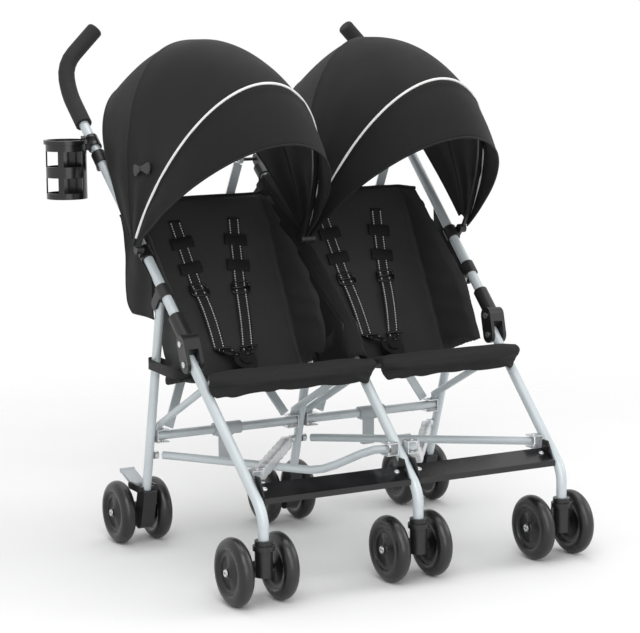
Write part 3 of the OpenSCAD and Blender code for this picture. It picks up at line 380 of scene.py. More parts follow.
def painted(name, dark, light):
    """Silver-grey paint on tube: fine flake, faint orange peel, duller patches from handling."""
    material, tree, bsdf = shader(name)
    flake = grain(tree, 1400, 2)
    peel = grain(tree, 260, 2)
    wear = grain(tree, 14, 5)
    both = node(tree, "ShaderNodeMix", {"Factor": 0.35, 2: flake, 3: wear},
                data_type="FLOAT")
    tint(tree, bsdf, both.outputs[0], dark, light)
    roughen(tree, bsdf, wear, 0.3, 0.46)
    fix(bsdf, Metallic=0.2, Coat_Weight=0.15)
    bump(tree, bsdf, peel, 0.12, 0.0002)
    return material


def plated(name, dark, light):
    """Zinc plate: metal with drawn streaks and blotches."""
    material, tree, bsdf = shader(name)
    place = node(tree, "ShaderNodeTexCoord")
    stretch = node(tree, "ShaderNodeMapping", {"Vector": place.outputs["Object"], "Scale": (900, 120, 900)})
    streak = node(tree, "ShaderNodeTexNoise",
                  {"Vector": stretch.outputs["Vector"], "Scale": 1.0}).outputs["Fac"]
    blotch = grain(tree, 60, 4)
    tint(tree, bsdf, blotch, dark, light)
    roughen(tree, bsdf, streak, 0.24, 0.42)
    fix(bsdf, Metallic=0.9)
    bump(tree, bsdf, streak, 0.15, 0.0001)
    return material


def tyre_and_hub(name, axle_y):
    """Wheel in one moulding: satin tyre, a darker ring of painted shade in the hub recess, lighter at the
    tread's crown, scuffs on the tread.
    """
    material, tree, bsdf = shader(name)
    place = node(tree, "ShaderNodeTexCoord")
    centred = node(tree, "ShaderNodeMapping",
                   {"Vector": place.outputs["Object"], "Location": (0, -axle_y * MM, -WHEEL_R * MM),
                    "Scale": (0, 1, 1)})
    reach = node(tree, "ShaderNodeVectorMath", {0: centred.outputs["Vector"]}, operation="LENGTH")
    share = calc(tree, "DIVIDE", reach.outputs["Value"], WHEEL_R * MM)
    drift = grain(tree, 22, 5)
    scuff = grain(tree, 500, 3)
    # Base colour by radius: the band from 0.46 to 0.66 of the radius, the hub recess, is painted darker as
    # shade; the tread's crown is lighter.
    rings_with_painted_recess_shade = ramp(tree, share, [(0.0, 0.008), (0.43, 0.009), (0.46, 0.004), (0.61, 0.006),
                               (0.66, 0.003), (0.7, 0.012), (0.95, 0.01), (1.0, 0.022)])
    tone = ramp(tree, drift, [(0.3, 0.75), (0.7, 1.0)])
    colour = node(tree, "ShaderNodeMix", {"Factor": 1.0, 6: rings_with_painted_recess_shade, 7: tone}, data_type="RGBA",
                  blend_type="MULTIPLY")
    tree.links.new(colour.outputs[2], bsdf.inputs["Base Color"])
    roughen(tree, bsdf, drift, 0.24, 0.38)
    bump(tree, bsdf, scuff, 0.2, 0.0001)
    return material


def woven(name, dark, light, pitch, sheen, lean=None):
    """Plain weave. On a sheet it follows the UV map; on a pad it follows the piece's slope."""
    material, tree, bsdf = shader(name)
    place = node(tree, "ShaderNodeTexCoord")
    if lean is None:
        source = place.outputs["UV"]
    else:
        source = node(tree, "ShaderNodeMapping", {"Vector": place.outputs["Object"],
                                                  "Rotation": (lean, 0, 0)}).outputs["Vector"]
    split = node(tree, "ShaderNodeSeparateXYZ", {"Vector": source})
    warp = sine(tree, split.outputs["X"], pitch)
    weft = sine(tree, split.outputs["Y"], pitch)
    over = calc(tree, "MULTIPLY", warp, weft)
    fade = grain(tree, 7, 4)
    fuzz = grain(tree, 420, 2)
    tone = node(tree, "ShaderNodeMix", {"Factor": 0.4, 2: fade, 3: fuzz},
                data_type="FLOAT")
    tint(tree, bsdf, tone.outputs[0], dark, light)
    roughen(tree, bsdf, fade, 0.62, 0.8)
    fix(bsdf, Sheen_Weight=sheen, Sheen_Roughness=0.45, Specular_IOR_Level=0.16)
    bump(tree, bsdf, over, 0.5, 0.00025)
    return material


def ribbed(name, dark, light, pitch, sheen=0.1):
    """Webbing, piping or thread: ribs across the run of the UV map."""
    material, tree, bsdf = shader(name)
    place = node(tree, "ShaderNodeTexCoord")
    split = node(tree, "ShaderNodeSeparateXYZ", {"Vector": place.outputs["UV"]})
    slant = calc(tree, "MULTIPLY_ADD", split.outputs["X"], 0.6, split.outputs["Y"])
    ribs = sine(tree, slant, pitch)
    fade = grain(tree, 40, 3)
    tint(tree, bsdf, fade, dark, light)
    roughen(tree, bsdf, fade, 0.55, 0.75)
    fix(bsdf, Sheen_Weight=sheen, Specular_IOR_Level=0.25)
    bump(tree, bsdf, ribs, 0.5, 0.0003)
    return material


FRAME_PAINT = painted("silver_grey_paint", (0.46, 0.51, 0.53), (0.6, 0.65, 0.67))
REAR_PAINT = painted("pale_grey_paint", (0.5, 0.55, 0.57), (0.64, 0.69, 0.71))
ZINC = plated("zinc_plate", (0.5, 0.51, 0.52), (0.74, 0.75, 0.76))
BLACK_PLASTIC = moulded("black_plastic", (0.008, 0.008, 0.009), (0.016, 0.016, 0.017), (0.34, 0.5))
GLOSS_PLASTIC = moulded("gloss_black_plastic", (0.006, 0.006, 0.007), (0.012, 0.012, 0.013), (0.16, 0.3), 300)
GREY_PLASTIC = moulded("grey_plastic", (0.4, 0.43, 0.45), (0.52, 0.55, 0.57), (0.4, 0.55))
GRIP_FOAM = moulded("grip_foam", (0.006, 0.006, 0.006), (0.014, 0.014, 0.014), (0.7, 0.9), 520, 0.0005)
FRONT_WHEEL = tyre_and_hub("front_tyre_and_hub", FRONT_AXLE_Y)
REAR_WHEEL = tyre_and_hub("rear_tyre_and_hub", REAR_AXLE_Y)
CANOPY_CLOTH = woven("canopy_cloth", (0.008, 0.008, 0.0085), (0.0135, 0.0135, 0.014), 0.0013, 0.03)
# Painted light: a lighter copy of the black cloth, to lift the shade that the canopies cast over the
# backrest.
BACK_CLOTH_PAINTED_LIGHT = woven("back_cloth_painted_light", (0.029, 0.029, 0.0295), (0.045, 0.045, 0.0455), 0.0015,
                   0.05, math.pi / 2 - BACK_LEAN)
# Painted light: a lighter copy of the black cloth, to lift the shade that the canopies cast over the seat.
SEAT_CLOTH_PAINTED_LIGHT = woven("seat_cloth", (0.013, 0.013, 0.0135), (0.022, 0.022, 0.0225), 0.0015, 0.03, 0.0)
FLAP_CLOTH = woven("flap_cloth", (0.007, 0.007, 0.0075), (0.012, 0.012, 0.0125), 0.0015, 0.03)
# Painted sheen: the webbing's base colour is raised to stand for the sheen of its ribs.
WEBBING_PAINTED_SHEEN = ribbed("strap_webbing_painted_sheen", (0.012, 0.012, 0.0125), (0.021, 0.021, 0.0215), 0.0016, 0.03)
BINDING = ribbed("black_binding", (0.006, 0.006, 0.0065), (0.011, 0.011, 0.0115), 0.0011, 0.03)
PIPING = ribbed("white_piping", (0.78, 0.78, 0.77), (0.86, 0.86, 0.85), 0.0012)
THREAD = ribbed("white_thread", (0.66, 0.67, 0.68), (0.8, 0.81, 0.82), 0.0006)

NODE_FINISH = {
    "upper_tube": FRAME_PAINT, "front_leg": FRAME_PAINT, "floor_braces": FRAME_PAINT,
    "seat_struts": FRAME_PAINT, "rear_leg": REAR_PAINT, "cross_bars": REAR_PAINT, "back_braces": REAR_PAINT,
    "elbow_joints": BLACK_PLASTIC, "tube_clips": BLACK_PLASTIC, "brace_hangers": BLACK_PLASTIC,
    "grip": GRIP_FOAM, "cup_holder": GLOSS_PLASTIC, "footrest": GLOSS_PLASTIC, "brackets": ZINC,
    "buckle": BLACK_PLASTIC, "button": BLACK_PLASTIC, "canopy_bow": BLACK_PLASTIC, "knuckles": GREY_PLASTIC,
    "release_lever": GREY_PLASTIC, "rear_brackets": ZINC, "rear_housing": BLACK_PLASTIC,
    "brake_pedal": GREY_PLASTIC, "caster": BLACK_PLASTIC,
}
for name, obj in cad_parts.items():
    stem = max((k for k in NODE_FINISH if name.startswith(k)), key=len, default=None)
    if stem:
        for slot in obj.material_slots:
            slot.material = NODE_FINISH[stem]


# geometry nodes for what repeats

def group_tree(name, inputs):
    tree = bpy.data.node_groups.new(name, "GeometryNodeTree")
    tree.interface.new_socket(name="Path", in_out="INPUT", socket_type="NodeSocketGeometry")
    for label, kind, value in inputs:
        made = tree.interface.new_socket(name=label, in_out="INPUT", socket_type=kind)
        if value is not None:
            made.default_value = value
    tree.interface.new_socket(name="Pieces", in_out="OUTPUT", socket_type="NodeSocketGeometry")
    return tree, tree.nodes.new("NodeGroupInput"), tree.nodes.new("NodeGroupOutput")


def close_tree(tree, out, instances, material):
    real = node(tree, "GeometryNodeRealizeInstances", {0: instances})
    done = node(tree, "GeometryNodeSetMaterial", {"Geometry": real.outputs[0], "Material": material})
    tree.links.new(done.outputs[0], out.inputs[0])


def stitch_tree(name, thread_material):
    """Threads laid end to end along every edge path of the mesh."""
    tree, src, out = group_tree(name, [("Pitch", "NodeSocketFloat", 0.005),
                                       ("Stitch Length", "NodeSocketFloat", 0.0034),
                                       ("Thread Radius", "NodeSocketFloat", 0.0005)])
    curve = node(tree, "GeometryNodeMeshToCurve", {"Mesh": src.outputs["Path"]})
    points = node(tree, "GeometryNodeCurveToPoints",
                  {"Curve": curve.outputs[0], "Length": src.outputs["Pitch"]}, mode="LENGTH")
    turn = node(tree, "FunctionNodeAlignRotationToVector", {"Vector": points.outputs["Tangent"]}, axis="Z")
    half = calc(tree, "MULTIPLY", src.outputs["Stitch Length"], 0.5)
    radius = src.outputs["Thread Radius"]
    size = node(tree, "ShaderNodeCombineXYZ", {0: radius, 1: radius, 2: half})
    thread = node(tree, "GeometryNodeMeshUVSphere", {"Segments": 6, "Rings": 4, "Radius": 1.0})
    laid = node(tree, "GeometryNodeInstanceOnPoints",
                {"Points": points.outputs["Points"], "Instance": thread.outputs["Mesh"],
                 "Rotation": turn.outputs["Rotation"], "Scale": size.outputs[0]})
    close_tree(tree, out, laid.outputs[0], thread_material)
    return tree


def screw_tree():
    """The screw head object set on every point, turned to the point's facing attribute."""
    tree, src, out = group_tree("screw_heads", [("Head", "NodeSocketObject", None),
                                                ("Head Size", "NodeSocketFloat", 1.0)])
    head = node(tree, "GeometryNodeObjectInfo", {"Object": src.outputs["Head"]})
    facing = node(tree, "GeometryNodeInputNamedAttribute", {"Name": "facing"}, data_type="FLOAT_VECTOR")
    turn = node(tree, "FunctionNodeAlignRotationToVector", {"Vector": facing.outputs["Attribute"]}, axis="Z")
    dots = node(tree, "GeometryNodeMeshToPoints", {"Mesh": src.outputs["Path"]})
    laid = node(tree, "GeometryNodeInstanceOnPoints",
                {"Points": dots.outputs["Points"], "Instance": head.outputs["Geometry"],
                 "Rotation": turn.outputs["Rotation"], "Scale": src.outputs["Head Size"]})
    close_tree(tree, out, laid.outputs[0], ZINC)
    return tree


def grow(name, obj, tree, values):
    """Run a node tree on obj and keep the result as a plain mesh under its own name."""
    modifier = obj.modifiers.new("grow", "NODES")
    modifier.node_group = tree
    for item in tree.interface.items_tree:
        if item.in_out == "INPUT" and item.name in values:
            modifier[item.identifier] = values[item.name]
    mesh = apply_modifiers(obj).data
    bpy.data.objects.remove(obj)
    smooth_faces(mesh)
    return in_scene(name, mesh)


WHITE_STITCHES = stitch_tree("white_stitch_rows", THREAD)
DARK_STITCHES = stitch_tree("dark_stitch_rows", BINDING)
SCREWS = screw_tree()


def stitch_rows(name, paths, body, slot, tree, pitch, length, radius):
    """Rows of thread along several paths, as one piece on one body."""
    verts, edges = [], []
    for path in paths:
        first = len(verts)
        verts += [Vector(p) * MM for p in path]
        edges += [(first + i, first + i + 1) for i in range(len(path) - 1)]
    mesh = bpy.data.meshes.new(name + "_path")
    mesh.from_pydata(verts, edges, [])
    made = grow(name, in_scene(name + "_path", mesh), tree,
                {"Pitch": pitch * MM, "Stitch Length": length * MM, "Thread Radius": radius * MM})
    return finish(made, body, slot)


def screw_head():
    """A pan head with a cross recess, its seat at z = 0."""
    bm = bmesh.new()
    angles = [2 * math.pi * (k + 0.5) / HEAD_SIDES for k in range(HEAD_SIDES)]
    rows = [[bm.verts.new((r * MM * math.cos(a), r * MM * math.sin(a), z * MM)) for a in angles]
            for r, z in HEAD_LINE]
    for low, high in zip(rows, rows[1:]):
        walls = [bm.faces.new((low[k - 1], low[k], high[k], high[k - 1])) for k in range(HEAD_SIDES)]
    cap = bm.faces.new(rows[-1])
    bm.faces.new(list(reversed(rows[0])))
    # the last walls are the ring round the cap
    arms = [f for f in walls if min(abs(c) for c in f.calc_center_median()[:2]) < 0.4 * MM]
    sunk = bmesh.ops.extrude_face_region(bm, geom=arms + [cap])
    bmesh.ops.delete(bm, geom=[f for f in arms + [cap] if f.is_valid], context="FACES_ONLY")
    bmesh.ops.translate(bm, verts=[v for v in sunk["geom"] if isinstance(v, bmesh.types.BMVert)],
                        vec=(0, 0, -RECESS * MM))
    bmesh.ops.recalc_face_normals(bm, faces=bm.faces)
    mesh = bpy.data.meshes.new("screw_head")
    bm.to_mesh(mesh)
    bm.free()
    mesh.materials.append(ZINC)
    return in_scene("screw_head", mesh)


HEAD = screw_head()


def screw_heads(name, spots, body, size):
    """Screw heads at (point, facing) spots on one body."""
    mesh = bpy.data.meshes.new(name + "_spots")
    mesh.from_pydata([Vector(p) * MM for p, _ in spots], [], [])
    facing = mesh.attributes.new("facing", "FLOAT_VECTOR", "POINT")
    facing.data.foreach_set("vector", [c for _, f in spots for c in f])
    made = grow(name, in_scene(name + "_spots", mesh), SCREWS, {"Head": HEAD, "Head Size": size})
    return finish(made, body, "zinc")


# canopies

def hood_reach(angle):
    if angle > BOW_A:
        return mix(BOW_R, VISOR_R, (angle - BOW_A) / (VISOR_A - BOW_A))
    return mix(BOW_R, HEM_R, (BOW_A - angle) / (BOW_A - HEM_A))


def hood_point(side, angle, turn, lift=0.0):
    """Point on a canopy: angle forward of upright and turn across in degrees, lift off the arch."""
    a, t = math.radians(angle), math.radians(turn)
    outer = math.cos(t) * side < 0
    power = mix(1.0, 0.7, ease((BOW_A - angle) / (BOW_A - HEM_A))) if outer else 1.0
    reach = (hood_reach(angle) + lift) * math.sin(t) ** power
    x = side * HOOD_X - (HOOD_HALF + HOOD_OVER + lift) * signed_power(math.cos(t), power)
    return Vector((x, HOOD_Y - reach * math.sin(a), HOOD_Z + reach * math.cos(a)))


def hood_folds(side, angle, turn):
    """How far the cloth stands off the arch: sag, rib, gathers at the piping, seam, pull and slack."""
    across = math.sin(math.radians(turn))
    off = 0.0
    for low, high, deep in ((HEM_A, RIB_A, 6.0), (RIB_A, BOW_A, 7.0)):
        if low < angle < high:
            off -= deep * math.sin(math.pi * (angle - low) / (high - low)) * across
    off += 2.2 * math.exp(-((angle - RIB_A) / 0.6) ** 2)
    behind = BOW_A - angle
    wander = noise.noise(Vector((turn * 0.11, side * 7.3, 0.0)))
    if behind >= 0:
        off += 1.1 * math.exp(-behind / 2.2) * math.sin(math.radians(turn * 22 + 200 * wander))
    else:
        off += 0.9 * math.exp(behind / 3.0) * math.sin(math.radians(turn * 19 + 160 * wander))
    off += 3.2 * math.exp(-((angle - BOW_A - 1.3) / 0.7) ** 2)
    near_pin = min(turn, 180 - turn)
    off += 2.4 * math.exp(-((near_pin - 16) / 12) ** 2) * math.sin(math.radians(angle * 11 + 90 * wander))
    off += 1.6 * across * noise.noise(Vector((turn * 0.045, angle * 0.06, side * 3.1)))
    return off


def canopy(label):
    """Cloth over a bow, with its piping, visor edge and rear hem."""
    side, hood = SIDES[label], "hood_" + label
    turns = [mix(TURN_FIRST, TURN_LAST, i / TURN_STEPS) for i in range(TURN_STEPS + 1)]
    angles = [mix(HEM_A, BOW_A, j / HEM_STEPS) for j in range(HEM_STEPS)]
    angles += [mix(BOW_A, VISOR_A, j / VISOR_STEPS) for j in range(VISOR_STEPS + 1)]
    rows = [[hood_point(side, a, t, hood_folds(side, a, t)) for t in turns] for a in angles]
    sheet = cloth_grid("canopy_cloth_" + label, rows, CANOPY_CLOTH)
    thicken(sheet, 1.5, 1.0)
    line = [hood_point(side, BOW_A, t, 2.2) for t in turns[2:-2]]
    trims = [finish(tube("canopy_piping_" + label, line, 2.7, PIPING), hood, "webbing")]
    edge = [hood_point(side, VISOR_A, t, hood_folds(side, VISOR_A, t) - 0.7) for t in turns]
    trims.append(finish(tube("visor_binding_" + label, edge, 2.2, BINDING, 8), hood, "canopy_cloth"))
    hem = [hood_point(side, HEM_A, t, hood_folds(side, HEM_A, t) - 0.7) for t in turns]
    trims.append(finish(tube("hem_binding_" + label, hem, 2.4, BINDING, 8), "frame", "canopy_cloth"))
    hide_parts("canopy_" + label)
    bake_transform(sheet)


# seats and backrests

def wing_depth(v):
    """How far the sides of a backrest come forward, to the tube in front of them."""
    z = SEAT_LOW + BACK_LEN * v * math.cos(BACK_LEAN)
    tube_y = SLEEVE_Y + (z - SLEEVE_Z) * math.tan(UPPER_LEAN)
    gap = SEAT_BACK + BACK_LEN * v * math.sin(BACK_LEAN) - tube_y
    return max(WING_LEAST, min(WING_MOST, gap)) * max(0.0, min(1.0, v / 0.12))


def back_point(side, u, v):
    """Middle of a backrest's cloth: u across with both sides, v up."""
    flat = 0.6
    half = BACK_HALF - WING_T / 2
    f = max(0.0, (abs(u) - flat) / (1 - flat))
    k = 1 if u > 0 else -1
    flare = 10.0 if k == side else 3.0
    x = k * (half * min(1.0, abs(u) / flat) + flare * f * f)
    rise = BACK_LEN * v
    bow = 0.0 if abs(u) > flat else (1 - (u / flat) ** 2) * math.sin(math.pi * max(0.0, min(1.0, v * 1.1)))
    y = SEAT_BACK + 7 + rise * math.sin(BACK_LEAN) + 6 * bow - (wing_depth(v) + 8 * f) * f
    z = SEAT_LOW + rise * math.cos(BACK_LEAN) - 3
    return Vector((side * SEAT_MID + x, y, z))


def puffed(obj):
    """Fill a closed cloth shape: remesh it, blow it up with Cloth, and hold each point near its place."""
    melt = obj.modifiers.new("melt", "REMESH")
    melt.mode = "VOXEL"
    melt.voxel_size = PUFF_VOXEL * MM
    apply_modifiers(obj)
    smooth = obj.modifiers.new("smooth", "SMOOTH")
    smooth.iterations = 6
    apply_modifiers(obj)
    rest = [v.co.copy() for v in obj.data.vertices]
    scene = bpy.context.scene
    blow = obj.modifiers.new("blow", "CLOTH")
    blow.settings.use_pressure = True
    blow.settings.uniform_pressure_force = 4.0
    blow.settings.effector_weights.gravity = 0.0
    blow.point_cache.frame_start = 1
    blow.point_cache.frame_end = PUFF_FRAMES
    for f in range(1, PUFF_FRAMES + 1):
        scene.frame_set(f)
    apply_modifiers(obj)
    scene.frame_set(1)
    for v, r in zip(obj.data.vertices, rest):
        move = v.co - r
        if move.length > PUFF_MOST * MM:
            v.co = r + move.normalized() * PUFF_MOST * MM
    smooth_faces(obj.data)


def crease(obj, height):
    """Move each point along its normal by height(point in mm, normal)."""
    normals = [v.normal.copy() for v in obj.data.vertices]
    for v, n in zip(obj.data.vertices, normals):
        v.co += n * height(v.co / MM, n) * MM


def refine(obj):
    sub = obj.modifiers.new("refine", "SUBSURF")
    sub.levels = sub.render_levels = 1
    return apply_modifiers(obj)


def backrest(label):
    """Padded sling with side wings and a bound top edge."""
    side = SIDES[label]
    us = [mix(-1, 1, i / 72) for i in range(73)]
    vs = [mix(-0.04, 1, j / 45) for j in range(46)]
    rows = [[back_point(side, u, v) for u in us] for v in vs]
    sling = cloth_grid("backrest_cloth_" + label, rows, BACK_CLOTH_PAINTED_LIGHT)
    thicken(sling, PAD_WALL)
    puffed(sling)

    def folds(p, n):
        v = (p.z - SEAT_LOW) / (BACK_LEN * math.cos(BACK_LEAN))
        x = p.x - side * SEAT_MID
        drag = noise.noise(Vector((x * 0.012 + v * 1.5, v * 2.2, side * 5.0)))
        pull = math.exp(-v * 6) * math.sin(x * 0.07 + 4 * drag)
        corner = math.exp(-((abs(x) - 146) / 16) ** 2) * math.sin(p.z * 0.13 + 5 * drag)
        tug = math.exp(-((v - 0.92) / 0.08) ** 2) * math.sin(x * 0.05 + 2 * drag)
        return 2.0 * drag + 1.4 * pull + 1.0 * corner + 0.8 * tug

    crease(sling, folds)
    refine(sling)
    finish(sling, "back_" + label, "seat_cloth", "backrest_" + label)
    edge = [sling.closest_point_on_mesh((back_point(side, u, 1.0) + Vector((0, 0, 2))) * MM)[1] for u in us]
    hem = [p / MM + Vector((0, 0, 0.5)) for p in edge]
    finish(tube("backrest_binding_" + label, hem, 4.2, BINDING), "back_" + label, "seat_cloth")
    return sling


def seat_profile(t):
    """Down the middle of a seat from the bottom of the valance (0) over the lip to the back (1)."""
    if t < VALANCE_END:
        f = t / VALANCE_END
        return SEAT_FRONT + mix(26, 20, f), mix(LIP_TOP - 52, LIP_TOP - 24, f)
    if t < LIP_END:
        a = (t - VALANCE_END) / LIP_SHARE * math.pi / 2
        return SEAT_FRONT + 23 - 13 * math.cos(a), LIP_TOP - 17 + 10 * math.sin(a)
    v = (t - LIP_END) / (1 - LIP_END)
    return mix(SEAT_FRONT + 23, SEAT_BACK - 2, v), mix(LIP_TOP - 7, SEAT_LOW - 4, v)


def seat(label):
    """Padded sling seat with a roll under its front lip and two rows of stitches."""
    side = SIDES[label]
    lip_mid, lip_half = LIP_SPAN[label]
    rows = []
    for j in range(71):
        t = j / 70
        y, z = seat_profile(t)
        back = max(0.0, (t - LIP_END) / (1 - LIP_END))
        half = mix(lip_half - 2, SEAT_HALF - 3, ease((t - LIP_END) / 0.1))
        half -= 14 * (1 - ease(t / VALANCE_END))
        mid = mix(lip_mid, side * SEAT_MID, ease(back * 3))
        row = []
        for i in range(57):
            u = mix(-1, 1, i / 56)
            sag = 12 * (1 - u * u) * math.sin(math.pi * back)
            round_end = 7 * u ** 8 * (1 if t < 0.36 else 0)
            row.append(Vector((mid + u * half, y + round_end, z - sag)))
        rows.append(row)
    pad = cloth_grid("seat_cloth_" + label, rows, SEAT_CLOTH_PAINTED_LIGHT)
    thicken(pad, PAD_WALL)
    us = [mix(-1, 1, i / 30) for i in range(31)]
    roll = [Vector((lip_mid + u * (lip_half - 4), SEAT_FRONT + 16 + 7 * u ** 8, LIP_TOP - 17 - 4 * u * u))
            for u in us]
    bar = tube("seat_roll_" + label, roll, [11.5 - 5 * abs(u) ** 6 for u in us], SEAT_CLOTH_PAINTED_LIGHT, 16)
    pad = join("seat_cloth_" + label, [pad, bar])
    puffed(pad)

    def folds(p, n):
        x = p.x - side * SEAT_MID
        drift = noise.noise(Vector((x * 0.015, p.y * 0.02, side * 9.0 + p.z * 0.01)))
        seam = -2.4 * math.exp(-((p.y - (SEAT_FRONT + 44)) / 3.0) ** 2) * (1 if n.z > 0.3 else 0)
        low = -2.0 * math.exp(-((p.z - (LIP_TOP - 31)) / 2.5) ** 2) * (1 if n.y < -0.4 else 0)
        hang = math.exp(-((p.z - LIP_TOP + 46) / 12) ** 2) * math.sin(x * 0.09 + 3 * drift)
        return 1.5 * drift + seam + low + 1.4 * hang

    crease(pad, folds)
    refine(pad)
    finish(pad, "frame", "seat_cloth", "seat_" + label)
    tree = surface_of(pad)
    reach = lip_half - 28
    rows = [[on_front(tree, lip_mid + mix(-reach, reach, i / 79), z, 0.1) for i in range(80)]
            for z in (LIP_TOP - 36, LIP_TOP - 43)]
    stitch_rows("seat_lip_stitches_" + label, rows, "frame", "seat_cloth", DARK_STITCHES, 4.2, 2.9, 0.45)


# harness

def surface_of(obj):
    return BVHTree.FromObject(obj, bpy.context.evaluated_depsgraph_get())


def on_front(tree, x, z, off):
    """Point on the front of a cloth piece at x and height z, off along its normal."""
    hit, normal, _, _ = tree.ray_cast(Vector((x, -300, z)) * MM, Vector((0, 1, 0)))
    return hit / MM + normal * off


def slider(name, at, along, across, body):
    """A three-bar strap slider."""
    out = forward(across.cross(along).normalized())
    half_w, half_l, r = 19.0, 13.0, 2.3
    ring = []
    for i in range(33):
        a = 2 * math.pi * i / 32
        sx, sy = signed_power(math.cos(a), 0.45), signed_power(math.sin(a), 0.45)
        ring.append(at + across * (half_w * sx) + along * (half_l * sy) + out * 2.4)
    bar = [at - across * half_w + out * 3.2, at + out * 3.8, at + across * half_w + out * 3.2]
    bars = [tube(name, ring, r, GLOSS_PLASTIC, 8), tube(name + "_bar", bar, r * 1.1, GLOSS_PLASTIC, 8)]
    finish(join(name, bars), body, "black_plastic")


def harness(label, backrest_piece):
    """Two shoulder straps with keepers, sliders, tongues and stitching."""
    side = SIDES[label]
    body = "back_" + label
    tree = surface_of(backrest_piece)
    across = Vector((1, 0, 0))
    stitches = []
    for k in (-1, 1):
        tag = label + ("_outer" if k == side else "_inner")
        path = []
        for i in range(46):
            t = i / 45
            z = mix(STRAP_TOP, STRAP_END, t)
            x = side * SEAT_MID + k * mix(*STRAP_APART, t)
            slack = 2.0 + 9.0 * math.sin(math.pi * max(0.0, (t - 0.5) / 0.5)) * (0.8 + 0.2 * k * side)
            path.append(on_front(tree, x, z, slack))
        tip = Vector((side * SEAT_MID + k * 15, BUCKLE_Y + 12, BUCKLE_Z + 24))
        path += [path[-1] * 0.5 + tip * 0.5 + Vector((0, -3, 0)), tip]
        path.insert(0, path[0] + Vector((0, 8, 3)))
        strap = ribbon("shoulder_strap_" + tag, path, across, STRAP_W, 1.6, WEBBING_PAINTED_SHEEN)
        finish(strap, body, "webbing", *(("harness_" + label,) if k < 0 else ()))
        tangents = tangents_of(path)
        fronts = [forward(across.cross(t).normalized()) for t in tangents]
        for off in (-STITCH_OFF, STITCH_OFF):
            stitches.append([p + across * off + f * 1.1 for p, f in zip(path[2:-1], fronts[2:-1])])
        for n, z in enumerate(KEEPERS_Z):
            centre = min(range(30), key=lambda i: abs(path[i].z - z))
            spot, t, f = path[centre], tangents[centre], fronts[centre]
            pad_path = [spot + t * mix(-12, 12, i / 8) + f * (2.2 + 1.8 * math.sin(math.pi * i / 8))
                        for i in range(9)]
            slant = across + t * (0.1 * k)
            pad = ribbon(f"strap_keeper_{tag}_{n + 1}", pad_path, slant, KEEPER_W, 4.0, BINDING)
            bevel = pad.modifiers.new("round", "BEVEL")
            bevel.width, bevel.segments = 1.2 * MM, 2
            apply_modifiers(pad)
            finish(pad, body, "webbing")
        at = min(range(len(path)), key=lambda i: abs(path[i].z - SLIDER_Z))
        slider("strap_slider_" + tag, path[at], tangents[at], across, body)
        end, t = path[-1], tangents[-1]
        prong = [end - t * 30, end - t * 22, end - t * 8, end + t * 4, end + t * 10]
        tab = ribbon("strap_tongue_" + tag, prong, across, [18, 23, 12, 8, 8], 4, GLOSS_PLASTIC)
        line = [prong[0] + across * w + fronts[-1] * (3.4 - abs(w) * 0.05)
                for w in (-19, -17, -9, 0, 9, 17, 19)]
        hook = tube("strap_hook_" + tag, line, 2.4, GLOSS_PLASTIC, 8)
        finish(join("strap_tongue_" + tag, [tab, hook]), body, "black_plastic")
    stitch_rows("harness_stitches_" + label, stitches, body, "webbing", WHITE_STITCHES, 5.2, 4.0, 1.35)


# cloth on the frame

def middle_cover():
    """Gathered cloth of both seats, sewn round the middle tube and its elbow."""
    lean = Vector((0, math.sin(MIDDLE_LEAN), math.cos(MIDDLE_LEAN)))
    sleeve = Vector((0, SLEEVE_Y, SLEEVE_Z))
    path = [Vector((0, y, z)) for y, z in COVER_FOOT]
    path += [sleeve + lean * d for d in range(0, COVER_LEN, 6)]
    across = Vector((1, 0, 0))
    rows = []
    for p, t in zip(path, tangents_of(path)):
        front = forward(across.cross(t).normalized())
        low = ease((478 - p.z) / 40)
        gusset = ease((525 - p.z) / 60)
        r = mix(17.5, 23, low) + 5 * ease((p.z - 590) / 40)
        row = []
        for k in range(33):
            a = mix(-1, 1, k / 32)
            gather = 1.5 * math.sin(k * 2.1 + p.z * 0.11)
            gather += 1.6 * noise.noise(Vector((k * 0.25, p.z * 0.03, 1.7)))
            reach = r + gather
            if abs(a) < COVER_WRAP:
                turn = a / COVER_WRAP * math.pi / 2
                row.append(p + across * math.sin(turn) * reach + front * math.cos(turn) * reach)
            else:
                back = (abs(a) - COVER_WRAP) / (1 - COVER_WRAP) * mix(COVER_REAR, GUSSET_REAR, gusset)
                point = p + across * math.copysign(reach, a) - front * back
                point.z = max(point.z, GUSSET_LOW + 4 * noise.noise(point * 0.02))
                row.append(point)
        rows.append(row)
    cover = cloth_grid("middle_tube_cover", rows, FLAP_CLOTH)
    thicken(cover, 1.6)
    finish(cover, "frame", "seat_cloth")


def side_flap(label):
    """Side panel of the seat cloth, hung from the outer tube behind the rear leg pivot."""
    side = SIDES[label]
    rows = []
    for j in range(41):
        z = mix(FLAP_LOW, FLAP_TOP, j / 40)
        tube_y = SLEEVE_Y + (z - SLEEVE_Z) * math.tan(UPPER_LEAN)
        first = max(FLAP_FRONT, tube_y + 3)
        corner = 26 * max(0.0, 1 - (z - FLAP_LOW) / 26) ** 2
        last = max(first + 12, FLAP_BACK + 0.12 * max(0.0, z - 590) - corner)
        row = []
        for i in range(33):
            y = mix(first, last, i / 32)
            wave = 2.2 * math.sin(y * 0.05 + z * 0.02)
            wave += 2.0 * noise.noise(Vector((y * 0.02, z * 0.02, side * 2.0)))
            x = COL_X + (z - BEND_Z) * math.tan(SPLAY) + 13 + wave - 6 * ease((z - 560) / 80)
            row.append(Vector((side * x, y, z)))
        rows.append(row)
    flap = cloth_grid("side_flap_" + label, rows, FLAP_CLOTH)
    thicken(flap, 2.0)
    edge = [row[-1] for row in reversed(rows)] + rows[0][-2::-1]
    trim = finish(tube("flap_binding_" + label, edge, 2.0, BINDING, 8), "frame", "seat_cloth")
    finish(flap, "frame", "seat_cloth")


